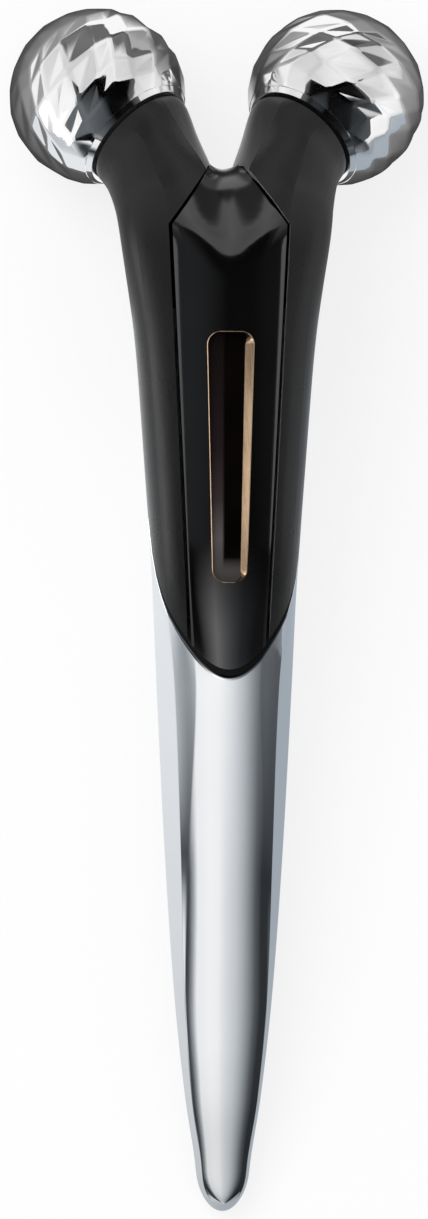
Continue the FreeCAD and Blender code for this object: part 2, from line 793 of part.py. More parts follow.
# Ball-shaped filling of a roller: flat at the neck, bored for the bearings, with a well for the outer one
def roller_core(label, side):
    ball = bound(doc.addObject("Part::Sphere", label + "_ball"), Radius=CORE)
    tools = doc.addObject("Part::MultiFuse", label + "_bores")
    tools.Shapes = [
        bore_tool(label + "_neck", BALL, BALL, "-" + FOOT + " - " + BALL),
        bore_tool(label + "_bore", BEARING + " + sheet.glue_gap", "2 * " + BALL, "-" + BALL),
        bore_tool(label + "_well", WELL, BALL, FOOT)]
    core = doc.addObject("Part::Cut", label)
    core.Label = label
    core.Base = ball
    core.Tool = tools
    core.Placement = roller_placement(side)
    return core


# Corners of an icosahedron with one on the axis, and its twenty faces
def icosahedron():
    height, reach = 1 / math.sqrt(5), 2 / math.sqrt(5)
    upper = [Vector(reach * math.cos(math.tau * i / 5), reach * math.sin(math.tau * i / 5), height) for i in range(5)]
    lower = [Vector(-p.x, -p.y, -height) for p in upper]
    lower = lower[2:] + lower[:2]
    top, bottom = Vector(0, 0, 1), Vector(0, 0, -1)
    faces = []
    for i in range(5):
        after = (i + 1) % 5
        faces += [(top, upper[i], upper[after]), (upper[i], lower[i], upper[after]),
                  (upper[after], lower[i], lower[after]), (bottom, lower[after], lower[i])]
    return faces


# Flat triangles that divide one face, with their corners pushed out to the ball
def face_triangles(a, b, c, rows, radius):
    def point(i, j):
        return (a * (rows - i - j) + b * i + c * j).normalize() * radius

    triangles = []
    for i in range(rows):
        for j in range(rows - i):
            triangles.append((point(i, j), point(i + 1, j), point(i, j + 1)))
            if i + j + 2 <= rows:
                triangles.append((point(i + 1, j), point(i + 1, j + 1), point(i, j + 1)))
    return triangles


def faceted_ball():
    faces = []
    for a, b, c in icosahedron():
        for corners in face_triangles(a, b, c, int(round(size("facet_rows"))), size("ball_diameter") / 2):
            faces.append(Part.Face(Part.makePolygon(list(corners) + [corners[0]])))
    shell = Part.makeShell(faces)
    shell.sewShape()
    ball = Part.makeSolid(Part.Shell(shell.Faces))
    if ball.Volume < 0:
        ball.reverse()
    return ball


def faceted_shell(label, side):
    hollow = Part.makeSphere(size("ball_diameter") / 2 - size("shell_wall"))
    seat = rim_distance() - size("running_gap") - size("ring_lip")
    shell = faceted_ball().cut(hollow).cut(block_beyond(Vector(0, 0, -seat), Vector(0, 0, -1)))
    piece = feature(label, shell)
    piece.Placement = roller_placement(side)
    return piece


# Places inside the head
CELL_LENGTH = "(sheet.window_length - 2 * (sheet.bezel_width + sheet.fit_gap + sheet.cradle_wall))"
BOARD_LENGTH = "(" + CELL_LENGTH + " + 2 * sheet.board_margin)"


def board_top():
    return size("frame_top_height") + size("board_thickness")


def cell_bottom():
    fall = (size("window_top_width") / 2) ** 2 / (2 * size("panel_crown_radius"))
    top = front_at(size("window_foot_at")) - size("panel_thickness") - fall - 2 * size("fit_gap")
    return top - size("cell_thickness")


def screw_places():
    across = size("board_width") / 2 - size("screw_inset")
    ends = (board_foot() + size("screw_inset"), board_end() - size("screw_inset"))
    return [(side * across, end) for side in (-1, 1) for end in ends]


def box(label, x, y, z, length, width, height):
    piece = doc.addObject("Part::Box", label)
    bound(piece, Length=str(length), Width=str(width), Height=str(height))
    piece.Placement = Placement(Vector(x, y, z), Rotation())
    return piece


def upright(label, x, y, z, radius, height):
    piece = bound(doc.addObject("Part::Cylinder", label), Radius=str(radius), Height=str(height))
    piece.Placement = Placement(Vector(x, y, z), Rotation())
    return piece


def joined(kind, label, members):
    group = doc.addObject(kind, label)
    group.Label = label
    if kind == "Part::Compound":
        group.Links = members
    else:
        group.Shapes = members
    return group


def cut_piece(label, base, tool):
    piece = doc.addObject("Part::Cut", label)
    piece.Label = label
    piece.Base = base
    piece.Tool = tool
    piece.Placement = REST
    return piece


# Flat spine that fills the width of the hollow handle and head and carries the board
def inner_frame():
    inset = max(size("handle_wall"), size("head_wall")) + size("frame_gap")
    low = size("frame_top_height") - size("frame_thickness")
    length = frame_end() - size("frame_foot_at")
    slab = Part.makeBox(FAR, length, size("frame_thickness"), Vector(-FAR / 2, size("frame_foot_at"), low))
    frame = long_loft("waist", inset).common(slab)
    for x, y in screw_places():
        hole = Part.makeCylinder(size("screw_diameter") / 2 + size("glue_gap"), FAR, Vector(x, y, -FAR / 2))
        frame = frame.cut(hole)
    return feature("inner_frame", frame)


def circuit_board():
    blank = box("board_blank", -size("board_width") / 2, board_foot(), size("frame_top_height"),
                "sheet.board_width", BOARD_LENGTH, "sheet.board_thickness")
    holes = [upright("board_hole_%d" % i, x, y, size("frame_top_height") - OVERLAP,
                     "sheet.screw_diameter / 2 + sheet.glue_gap", "sheet.board_thickness + %s" % (2 * OVERLAP))
             for i, (x, y) in enumerate(screw_places())]
    return cut_piece("circuit_board", blank, joined("Part::MultiFuse", "board_holes", holes))


def board_screws():
    screws = []
    for i, (x, y) in enumerate(screw_places()):
        head = upright("screw_head_%d" % i, x, y, board_top(), "sheet.screw_head_diameter / 2", "sheet.screw_head_height")
        shank = upright("screw_shank_%d" % i, x, y, size("frame_top_height") - size("frame_thickness"),
                        "sheet.screw_diameter / 2", "sheet.frame_thickness + sheet.board_thickness")
        screws.append(joined("Part::MultiFuse", "screw_%d" % i, [head, shank]))
    group = joined("Part::Compound", "board_screws", screws)
    group.Placement = REST
    return group


def cell_cradle():
    wall = size("cradle_wall")
    tall = cell_bottom() - board_top()
    outside = box("cradle_outside", -size("cell_width") / 2, cell_foot(), board_top(), "sheet.cell_width",
                  CELL_LENGTH, tall)
    inside = box("cradle_inside", wall - size("cell_width") / 2, cell_foot() + wall, board_top() - OVERLAP,
                 "sheet.cell_width - 2 * sheet.cradle_wall", CELL_LENGTH + " - 2 * sheet.cradle_wall",
                 tall + 2 * OVERLAP)
    return cut_piece("cell_cradle", outside, inside)


def solar_cell():
    cell = box("solar_cell", -size("cell_width") / 2, cell_foot(), cell_bottom(), "sheet.cell_width", CELL_LENGTH,
               "sheet.cell_thickness")
    cell.Label = "solar_cell"
    cell.Placement = REST.multiply(cell.Placement)
    return cell


# Two upright wires between the board and the cell
def cell_leads():
    tall = cell_bottom() - board_top()
    end = cell_foot() + cell_length() - 2 * size("cradle_wall") - size("lead_diameter")
    wires = [upright("cell_lead_%d" % i, side * size("lead_diameter"), end, board_top(), "sheet.lead_diameter / 4", tall)
             for i, side in enumerate((-1, 1))]
    group = joined("Part::Compound", "cell_leads", wires)
    group.Placement = REST
    return group


# Chip, coil and two capacitors on the board, inside the cradle
def board_components():
    room = size("cell_width") - 2 * size("cradle_wall") - 4 * size("fit_gap")
    start = cell_foot() + 2 * size("cradle_wall")
    kinds = ("chip", "coil", "capacitor", "capacitor")
    step = cell_length() / (len(kinds) + 2)
    parts = [box("component_%d" % i, -room / 2, start + i * step, board_top(), room, "sheet.%s_length" % kind,
                 "sheet.%s_height" % kind) for i, kind in enumerate(kinds)]
    group = joined("Part::Compound", "board_components", parts)
    group.Placement = REST
    return group


# Leaf that stands on the spine and reaches the inside of the handle's front
def handle_contact():
    body = doc.addObject("PartDesign::Body", "handle_contact")
    body.Label = "handle_contact"
    lean = 3 * size("contact_thickness")
    top = front_at(size("contact_at") - lean) - size("handle_wall") - 5 * size("fit_gap")
    floor = "sheet.frame_top_height"
    back = "sheet.contact_at + sheet.contact_length"
    tip = "sheet.contact_at - 3 * sheet.contact_thickness"
    profile = outline(body, "YZ_Plane", [
        ("sheet.contact_at", floor), (back, floor), (back, floor + " + sheet.contact_thickness"),
        ("sheet.contact_at + sheet.contact_thickness", floor + " + sheet.contact_thickness"),
        (tip + " + sheet.contact_thickness", str(top)), (tip, str(top))])
    pad = body.newObject("PartDesign::Pad", "handle_contact_leaf")
    pad.Profile = profile
    pad.setExpression("Length", "sheet.contact_width")
    pad.Midplane = True
    body.Placement = REST
    return body


# Round wire along straight runs joined by arcs that touch both runs
def wire_along(points, radius):
    edges = []
    start = points[0]
    for before, corner, after in zip(points, points[1:], points[2:]):
        reach = BEND_SHARE * min((corner - before).Length, (after - corner).Length)
        enter, middle, leave = corner_arc(before, corner, after, reach)
        edges += [Part.LineSegment(start, enter).toShape(), Part.Arc(enter, middle, leave).toShape()]
        start = leave
    edges.append(Part.LineSegment(start, points[-1]).toShape())
    path = Part.Wire(edges)
    section = Part.Wire(Part.makeCircle(radius, points[0], points[1] - points[0]))
    wire = path.makePipeShell([section], True, False)
    if abs(wire.Volume / (math.pi * radius ** 2 * path.Length) - 1) > 0.01:
        raise RuntimeError("a wire does not keep its section")
    return wire


def handle_lead():
    radius = size("lead_diameter") / 2
    height = size("frame_top_height") + radius + size("glue_gap")
    start = Vector(0, size("contact_at") + size("contact_length") + size("fit_gap"), height)
    end = Vector(0, board_foot() - size("fit_gap"), height)
    return feature("handle_lead", wire_along([start, end], radius))


def boss_length():
    room = size("arm_end_diameter") / 2 - size("head_wall") - size("plug_ledge") - size("shank_diameter") / 2
    return size("boss_reach") * room


# Wire from the board's upper end to the inner end of an axle
def axle_lead(label, side):
    radius = size("lead_diameter") / 2
    height = board_top() + radius + size("glue_gap")
    tail = rim_distance() + size("plug_recess") + size("plug_thickness") + boss_length() + size("shank_tail")
    end = ball_centre(side) - ball_axis(side) * (tail + 2 * size("fit_gap") + radius / 2)
    first = Vector(side * size("lead_diameter"), cell_foot() + cell_length() + size("lead_diameter"), height)
    second = Vector(side * 1.8 * size("lead_diameter"), board_end() + 3 * size("lead_diameter"), height)
    third = Vector(mix(second.x, end.x, 0.6), mix(second.y, end.y, 0.6), mix(second.z, end.z, 0.85))
    return feature(label, wire_along([first, second, third, end], radius))


right_shell = right_housing()
pieces = [
    feature("handle_shell", handle_shell()),
    feature("seam_gasket", seam_gasket()),
    feature("left_housing", mirror_left(right_shell)),
    feature("right_housing", right_shell),
    feature("front_panel", front_panel()),
    feature("window_bezel", window_bezel()),
    feature("window_lens", window_lens()),
    solar_cell(),
    cell_cradle(),
    cell_leads(),
    inner_frame(),
    circuit_board(),
    board_components(),
    board_screws(),
    handle_contact(),
    handle_lead(),
]
ROLLER_PIECES = (axle_lead, axle, arm_plug, axle_seal, thrust_washer, retaining_clip, faceted_shell, neck_ring,
                 roller_core, inner_bearing, outer_bearing, core_cap)
for side, word in ((-1, "left"), (1, "right")):
    for make in ROLLER_PIECES:
        pieces.append(make(word + "_" + make.__name__, side))

doc.recompute()
for thing in doc.Objects:
    if "Invalid" in thing.State or "Error" in thing.State:
        raise RuntimeError(thing.Label + " did not recompute")
for piece in pieces:
    shape = piece.Shape
    if shape.isNull() or not shape.isValid() or not shape.Solids:
        raise RuntimeError(piece.Label + " is not a sound solid")
    shape.exportStep("parts/" + piece.Label + ".step")
    print(piece.Label, len(shape.Solids), round(shape.Volume, 1))
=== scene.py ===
"""Looks of a two-ball facial roller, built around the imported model.

Shapes are worked out in the handle's own frame in millimetres: Y runs along the handle from its tip,
X to the right and Z out of its front. place() takes them to the model's frame in metres.
"""
import json
import math

import bmesh
import bpy
from mathutils import Matrix, Vector


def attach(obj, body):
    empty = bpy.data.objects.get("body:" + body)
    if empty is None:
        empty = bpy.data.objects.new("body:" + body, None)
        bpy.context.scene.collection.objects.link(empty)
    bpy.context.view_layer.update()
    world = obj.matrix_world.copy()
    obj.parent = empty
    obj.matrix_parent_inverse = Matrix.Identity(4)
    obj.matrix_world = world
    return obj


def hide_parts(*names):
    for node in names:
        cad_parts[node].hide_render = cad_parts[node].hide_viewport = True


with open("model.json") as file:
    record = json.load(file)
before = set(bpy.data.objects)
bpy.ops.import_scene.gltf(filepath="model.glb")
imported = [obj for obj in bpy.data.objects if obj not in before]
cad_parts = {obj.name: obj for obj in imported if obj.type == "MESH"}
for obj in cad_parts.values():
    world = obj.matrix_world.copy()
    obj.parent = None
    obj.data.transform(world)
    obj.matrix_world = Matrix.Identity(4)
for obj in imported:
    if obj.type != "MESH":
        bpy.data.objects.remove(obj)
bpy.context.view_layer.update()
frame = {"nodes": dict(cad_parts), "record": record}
nodes = frame["nodes"]
scene = bpy.context.scene

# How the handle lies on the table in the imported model
MM = 0.001
LIE = 8.84727207        # degrees by which the handle rises from its tip to the balls
TURN = Matrix.Rotation(math.radians(LIE), 3, "X")
ORIGIN = Vector((0, -90.2793, 2.0415))      # where the handle's frame starts, in millimetres


def place(point):
    return (TURN @ Vector(point) + ORIGIN) * MM


def direction(vector):
    return (TURN @ Vector(vector)).normalized()


def mix(a, b, share):
    return a + (b - a) * share


# Camera: long lens square to the front, a little from the left
IMAGE_WIDTH, IMAGE_HEIGHT = 428, 1219
PIXEL = 0.1495          # millimetres of the object in one pixel of the image
LENS = 500.0
SENSOR = 36.0
FAR_END = 100.0         # metres to the end of what the camera shows
YAW = math.radians(5.0)
ROLL = math.radians(0.15)
AXIS_COLUMN = 223.9     # image column of the handle's axis
TIP_ROW = 1211.0        # image row of the handle's tip


def add_camera():
    ahead = direction((-math.sin(YAW), 0, math.cos(YAW)))
    up = Matrix.Rotation(ROLL, 3, ahead) @ direction((0, 1, 0))
    right = up.cross(ahead)
    aside = (IMAGE_WIDTH / 2 - AXIS_COLUMN) * PIXEL / math.cos(YAW)
    target = place((aside, (TIP_ROW - IMAGE_HEIGHT / 2) * PIXEL, 0))
    data = bpy.data.cameras.new("camera")
    data.lens = LENS
    data.sensor_width = SENSOR
    data.clip_end = FAR_END
    camera = bpy.data.objects.new("camera", data)
    pose = Matrix((right, up, ahead)).transposed().to_4x4()
    pose.translation = target + ahead * (IMAGE_HEIGHT * PIXEL * MM * LENS / SENSOR)
    camera.matrix_world = pose
    scene.collection.objects.link(camera)
    scene.camera = camera


# Node trees of the materials and the surroundings
NOISE_LOW, NOISE_HIGH = 0.3, 0.7    # most of a noise lies between these


class Tree:
    def __init__(self, tree):
        self.tree = tree

    def add(self, kind, **settings):
        node = self.tree.nodes.new("ShaderNode" + kind)
        for key, value in settings.items():
            setattr(node, key, value)
        return node

    def link(self, source, target):
        self.tree.links.new(source, target)

    def math(self, operation, a, b=None):
        node = self.add("Math", operation=operation)
        for socket, value in zip(node.inputs, (a, b)):
            if value is None:
                continue
            if isinstance(value, (int, float)):
                socket.default_value = value
            else:
                self.link(value, socket)
        return node.outputs[0]

    def weighed(self, a, b, share):
        return self.math("ADD", self.math("MULTIPLY", a, share), self.math("MULTIPLY", b, 1 - share))

    # Place in the model's frame, in metres
    def model_spot(self):
        return self.add("TexCoord").outputs["Object"]

    # Across, along and up in the handle's frame, in millimetres
    def handle_spot(self):
        mapping = self.add("Mapping")
        mapping.inputs["Location"].default_value = -(TURN.transposed() @ ORIGIN)
        mapping.inputs["Rotation"].default_value = (-math.radians(LIE), 0, 0)
        mapping.inputs["Scale"].default_value = (1 / MM, 1 / MM, 1 / MM)
        self.link(self.model_spot(), mapping.inputs["Vector"])
        return self.parts(mapping.outputs[0])

    def parts(self, vector):
        node = self.add("SeparateXYZ")
        self.link(vector, node.inputs[0])
        return node.outputs

    def noise(self, scale, detail, vector=None, stretch=None):
        if vector is None:
            vector = self.model_spot()
        if stretch:
            mapping = self.add("Mapping")
            mapping.inputs["Scale"].default_value = stretch
            self.link(vector, mapping.inputs["Vector"])
            vector = mapping.outputs[0]
        node = self.add("TexNoise")
        node.inputs["Scale"].default_value = scale
        node.inputs["Detail"].default_value = detail
        self.link(vector, node.inputs["Vector"])
        return node.outputs["Fac"]

    def ramp(self, source, stops):
        node = self.add("ValToRGB")
        elements = node.color_ramp.elements
        while len(elements) < len(stops):
            elements.new(1.0)
        for element, (position, colour) in zip(elements, stops):
            element.position = position
            element.color = (*colour, 1)
        self.link(source, node.inputs[0])
        return node.outputs[0]

    def range(self, source, low, high, to_low, to_high):
        node = self.add("MapRange")
        for socket, value in zip(node.inputs[1:5], (low, high, to_low, to_high)):
            socket.default_value = value
        self.link(source, node.inputs[0])
        return node.outputs[0]

    # Colours and values that change softly with a noise
    def mottled(self, noise, low, high):
        return self.ramp(noise, [(NOISE_LOW, low), (NOISE_HIGH, high)])

    def varied(self, noise, low, high):
        return self.range(noise, NOISE_LOW, NOISE_HIGH, low, high)

    def blend(self, share, a, b):
        node = self.add("Mix", data_type="RGBA")
        for socket, value in zip((node.inputs[0], node.inputs[6], node.inputs[7]), (share, a, b)):
            if isinstance(value, tuple):
                socket.default_value = (*value, 1)
            else:
                self.link(value, socket)
        return node.outputs[2]


class Shader(Tree):
    def __init__(self, name):
        self.material = bpy.data.materials.new(name)
        self.material.use_nodes = True
        super().__init__(self.material.node_tree)
        self.tree.nodes.clear()
        self.out = self.add("OutputMaterial")

    def bump(self, height, strength, distance):
        node = self.add("Bump")
        node.inputs["Strength"].default_value = strength
        node.inputs["Distance"].default_value = distance
        self.link(height, node.inputs["Height"])
        return node.outputs[0]

    def principled(self, **values):
        node = self.add("BsdfPrincipled")
        for key, value in values.items():
            socket = node.inputs[key.replace("_", " ").title().replace("Ior", "IOR")]
            if isinstance(value, (int, float, tuple)):
                socket.default_value = (*value, 1) if isinstance(value, tuple) else value
            else:
                self.link(value, socket)
        self.link(node.outputs[0], self.out.inputs[0])

    # The first of two shaders where the share is 0, the second where it is 1
    def mixed(self, share, first, second):
        node = self.add("MixShader")
        for socket, source in zip(node.inputs, (share, first.outputs[0], second.outputs[0])):
            self.link(source, socket)
        self.link(node.outputs[0], self.out.inputs[0])


def grey(value, cool=0.0):
    return (value * (1 - cool), value, value * (1 + cool))


def shaded(colour, share):
    return tuple(c * share for c in colour)


# Bright plating: a little uneven in polish, with faint wipe marks along the handle
def plating(name, colour, rough, haze):
    s = Shader(name)
    clouds = s.noise(scale=90, detail=4)
    wipes = s.noise(scale=700, detail=2, stretch=(1, 0.08, 1))
    s.principled(base_color=s.mottled(clouds, shaded(colour, 0.975), colour), metallic=1.0,
                 roughness=s.varied(s.weighed(clouds, wipes, 0.6), rough, rough + haze),
                 normal=s.bump(wipes, strength=0.02, distance=0.0002))
    return s.material


# Moulded plastic with a fine spark-eroded grain, and some with a soft bloom
def satin_plastic(name, colour, rough, grain=2600, depth=0.09, level=0.3, bloom=0.0):
    s = Shader(name)
    skin = s.noise(scale=grain, detail=2)
    clouds = s.noise(scale=60, detail=3)
    s.principled(base_color=s.mottled(clouds, shaded(colour, 0.8), shaded(colour, 1.15)),
                 roughness=s.varied(s.weighed(skin, clouds, 0.4), rough - 0.05, rough + 0.06),
                 specular_ior_level=level, sheen_weight=bloom,
                 normal=s.bump(skin, strength=depth, distance=0.0004))
    return s.material


# Piano-black lacquer: nearly a mirror, with the slight orange peel of a sprayed coat
LACQUER_HAZE = (0.35, 0.7)      # part of the noise over which the coat gets duller


def lacquer(name, colour, rough, level):
    s = Shader(name)
    peel = s.noise(scale=420, detail=1)
    haze = s.noise(scale=55, detail=4)
    s.principled(base_color=s.mottled(haze, shaded(colour, 0.75), shaded(colour, 1.2)),
                 roughness=s.range(haze, *LACQUER_HAZE, rough, rough + 0.05), specular_ior_level=level,
                 normal=s.bump(peel, strength=0.015, distance=0.0003))
    return s.material


# Coloured metal with a brushed grain along the handle
def brushed_metal(name, light, dark, rough):
    s = Shader(name)
    grain = s.noise(scale=1800, detail=3, stretch=(1, 0.05, 1))
    clouds = s.noise(scale=120, detail=3)
    s.principled(base_color=s.mottled(clouds, dark, light), metallic=1.0,
                 roughness=s.varied(grain, rough - 0.05, rough + 0.07),
                 normal=s.bump(grain, strength=0.06, distance=0.0002))
    return s.material


# Dark tinted window: black over the cell, with a painted reflection at its left that widens round the foot: a
# clearer brown margin, lightest near the foot
PAINTED_REFLECTION_SIDE, PAINTED_REFLECTION_FOOT = (-1.15, -0.75), (95.8, 97.6)     # where it turns black across and along the handle
PAINTED_REFLECTION_SPAN = (94.0, 132.0)         # where along the handle the margin's tones begin and end
PAINTED_REFLECTION_TONES = [(0.0, (0.032, 0.028, 0.028)), (0.17, (0.08, 0.07, 0.07)), (0.32, (0.03, 0.023, 0.023)),
                (0.52, (0.013, 0.009, 0.009)), (1.0, (0.005, 0.0035, 0.0035))]


def smoked(name):
    s = Shader(name)
    across, along, _ = s.handle_spot()
    black = s.mottled(s.noise(scale=70, detail=3), (0.0012, 0.0008, 0.0007), (0.003, 0.002, 0.0017))
    # The margin is a painted reflection in the glass's base colour, lightest near the foot and darker towards
    # the top
    painted_reflection = s.ramp(s.range(along, *PAINTED_REFLECTION_SPAN, 0.0, 1.0), PAINTED_REFLECTION_TONES)
    over_cell = s.math("MULTIPLY", s.range(across, *PAINTED_REFLECTION_SIDE, 0.0, 1.0),
                       s.range(along, *PAINTED_REFLECTION_FOOT, 0.0, 1.0))
    s.principled(base_color=s.blend(over_cell, painted_reflection, black),
                 roughness=s.varied(s.noise(scale=300, detail=2), 0.04, 0.08), specular_ior_level=0.5,
                 coat_weight=0.3, coat_roughness=0.03)
    return s.material


# Light cell: near-black blue with thin current lines across it
CELL_LINES, CELL_GAP = 500.0, 0.9       # lines in a metre, and the share of dark between them


def cell(name):
    s = Shader(name)
    along = s.parts(s.model_spot())[1]
    lines = s.math("GREATER_THAN", s.math("FRACT", s.math("MULTIPLY", along, CELL_LINES)), CELL_GAP)
    s.principled(base_color=s.ramp(lines, [(0.0, (0.006, 0.008, 0.02)), (1.0, (0.35, 0.36, 0.38))]),
                 roughness=s.varied(s.noise(scale=300, detail=2), 0.2, 0.3))
    return s.material


# Circuit board: green mask over faint copper runs
BOARD_RUNS, RUN_WIDTH = 300.0, 0.03


def board(name):
    s = Shader(name)
    runs = s.add("TexBrick")
    runs.inputs["Scale"].default_value = BOARD_RUNS
    runs.inputs["Mortar Size"].default_value = RUN_WIDTH
    s.link(s.model_spot(), runs.inputs["Vector"])
    copper = runs.outputs["Fac"]
    s.principled(base_color=s.ramp(copper, [(0.0, (0.01, 0.09, 0.03)), (1.0, (0.03, 0.2, 0.07))]),
                 roughness=s.varied(s.noise(scale=200, detail=2), 0.3, 0.42),
                 normal=s.bump(copper, strength=0.1, distance=0.0001))
    return s.material


MATERIALS = {
    "polished_plating": (plating, dict(colour=(0.93, 0.935, 0.945), rough=0.035, haze=0.03)),
    "ball_plating": (plating, dict(colour=(0.945, 0.945, 0.945), rough=0.05, haze=0.03)),
    "matte_black": (satin_plastic, dict(colour=(0.002, 0.002, 0.0021), rough=0.3, depth=0.05, level=0.28,
                                        bloom=0.2)),
    "gloss_black": (lacquer, dict(colour=(0.002, 0.0018, 0.0017), rough=0.1, level=1.0)),
    "bronze_trim": (brushed_metal, dict(light=(0.66, 0.47, 0.31), dark=(0.56, 0.38, 0.24), rough=0.2)),
    "smoked_lens": (smoked, {}),
    "dark_cell": (cell, {}),
    "pale_resin": (satin_plastic, dict(colour=(0.6, 0.58, 0.53), rough=0.45)),
    "grey_resin": (satin_plastic, dict(colour=(0.16, 0.16, 0.17), rough=0.45)),
    "green_board": (board, {}),
    "component_black": (satin_plastic, dict(colour=(0.02, 0.02, 0.021), rough=0.5)),
    "steel": (brushed_metal, dict(light=(0.62, 0.62, 0.61), dark=(0.5, 0.5, 0.5), rough=0.25)),
    "spring_brass": (brushed_metal, dict(light=(0.8, 0.6, 0.3), dark=(0.68, 0.48, 0.22), rough=0.25)),
    "black_rubber": (satin_plastic, dict(colour=(0.003, 0.003, 0.003), rough=0.6, grain=1800, depth=0.15,
                                         level=0.15)),
    "red_insulation": (satin_plastic, dict(colour=(0.12, 0.008, 0.008), rough=0.4)),
}


# Sections of handle and head, with the same sizes as the solids: place along it, full width, heights in front
# of and behind the axis, then for the handle its raised band's width and drop, and the width over its flanks
HANDLE_SECTIONS = [
    (0.0, 7.2, 2.9, 2.6, 6.0, 1.05, 6.2),
    (6.0, 8.0, 3.4, 3.0, 6.6, 1.15, 6.8),
    (17.0, 11.3, 5.2, 4.4, 9.7, 1.72, 9.9),
    (32.0, 14.6, 7.2, 6.0, 12.1, 2.2, 12.4),
    (54.0, 17.7, 8.8, 7.6, 11.6, 2.05, 13.8),
    (78.0, 20.2, 9.5, 8.6, 9.6, 1.3, 15.8),
]
HEAD_SECTIONS = [
    (95.0, 21.8, 10.0, 9.2),
    (112.0, 24.2, 10.6, 9.6),
    (130.0, 27.1, 11.0, 9.9),
    (145.0, 31.4, 11.2, 10.2),
]
PALM_AT = HANDLE_SECTIONS[-1][0]
BELT = 0.1              # height of the widest line over the front's height
BULGE = 0.95            # how far a flank stands out of the straight line to the belt
BACK_FULLNESS = 0.58    # how full the curves of the back and of the head's sides are
SIDE_FULLNESS = 0.55
FLANK_FLAT = 1.5        # flanks wider than this swell out by a share of the rest
FLANK_SWELL = 0.045
TIP_ROUND = 6.0         # length of the rounded tip
TIP_BLUNT = 4.0         # how blunt the front of the tip is, seen from the side
TIP_LIP = 1.0           # how much farther up the handle the front of the tip begins
CROWN_RADIUS = 14.0     # of the head's front, across it
SEAM_FOOT, SEAM_TOP = 10.8, 17.6        # widths between the panel's seams at the palm and at their top
SEAM_TOP_AT = 147.4
JOINT_RISE = 1.7        # how far beyond the palm the joint crosses the front
JOINT_AT = PALM_AT + JOINT_RISE
JOINT_SLANT = math.radians(21.0)
GASKET = 0.5
HANDLE_WALL = 1.5
JOINT_SEARCH, FOOT_SEARCH = (60.0, 140.0), (60.0, 120.0)    # where joint and panel foot are looked for
HALVINGS = 40           # steps in which one is closed in on


def seam_half(at):
    return mix(SEAM_FOOT, SEAM_TOP, (at - PALM_AT) / (SEAM_TOP_AT - PALM_AT)) / 2


def line_poles(a, b):
    return [a.lerp(b, share) for share in (0, 1 / 3, 2 / 3, 1)]


def halved(poles):
    a, b, c, d = poles
    ab, bc, cd = (a + b) / 2, (b + c) / 2, (c + d) / 2
    abc, bcd = (ab + bc) / 2, (bc + cd) / 2
    middle = (abc + bcd) / 2
    return [a, ab, abc, middle], [middle, bcd, cd, d]


def cubic(poles, t):
    a, b, c, d = poles
    return a * (1 - t) ** 3 + b * (3 * t * (1 - t) ** 2) + c * (3 * t * t * (1 - t)) + d * t ** 3


# Right half of a section: front band, flank, side and back, each a cubic of four poles in (x, z)
def station_poles(station, inset):
    at, width, front, back = station[:4]
    half, front, back = width / 2 - inset, front - inset, back - inset
    belt = BELT * front
    slim = half / (half + inset)
    if len(station) > 4:
        band, drop, flank = station[4] / 2 * slim, station[5] * slim, station[6] / 2 * slim
        edge = Vector((band, front - drop))
        share = (flank - band) / (half - band)
        corner = Vector((flank, mix(belt, edge.y, 1 - share + BULGE * share * (1 - share))))
        rails = [line_poles(edge, corner), line_poles(corner, Vector((half, belt)))]
        across = Vector((edge.y - corner.y, corner.x - edge.x))
        swell = across.normalized() * FLANK_SWELL * max(0.0, across.length - FLANK_FLAT)
        rails[0][1] = rails[0][1] + swell
        rails[0][2] = rails[0][2] + swell
    else:
        band = seam_half(at) * slim
        drop = band ** 2 / (2 * CROWN_RADIUS)
        edge = Vector((band, front - drop))
        run, rise = SIDE_FULLNESS * (half - band), SIDE_FULLNESS * (edge.y - belt)
        rails = halved([edge, edge + Vector((run, -run * 2 * drop / band)), Vector((half, belt + rise)),
                        Vector((half, belt))])
    crown = [Vector((0, front)), Vector((band / 3, front)), Vector((2 * band / 3, front - drop / 3)), edge]
    reach = BACK_FULLNESS * (belt + back)
    rear = [Vector((half, belt)), Vector((half, belt - reach)), Vector((BACK_FULLNESS * half, -back)),
            Vector((0, -back))]
    return [crown, rails[0], rails[1], rear]


STATIONS = HANDLE_SECTIONS + HEAD_SECTIONS
PLACES = [station[0] for station in STATIONS]
CROWN, FLANK, SIDE, BACK = range(4)     # the four lines of a half section


# Curve through one value at each station that never runs past them
def smooth_value(values, at):
    rises = [(values[i + 1] - values[i]) / (PLACES[i + 1] - PLACES[i]) for i in range(len(values) - 1)]
    slopes = [rises[0]]
    for before, after in zip(rises, rises[1:]):
        slopes.append(2 * before * after / (before + after) if before * after > 0 else 0.0)
    slopes.append(rises[-1])
    i = max(k for k in range(len(PLACES) - 1) if k == 0 or PLACES[k] <= at)
    span = PLACES[i + 1] - PLACES[i]
    t = (at - PLACES[i]) / span
    return ((1 + 2 * t) * (1 - t) ** 2 * values[i] + t * (1 - t) ** 2 * span * slopes[i]
            + t * t * (3 - 2 * t) * values[i + 1] + t * t * (t - 1) * span * slopes[i + 1])


def front_at(at):
    return smooth_value([station[2] for station in STATIONS], at)


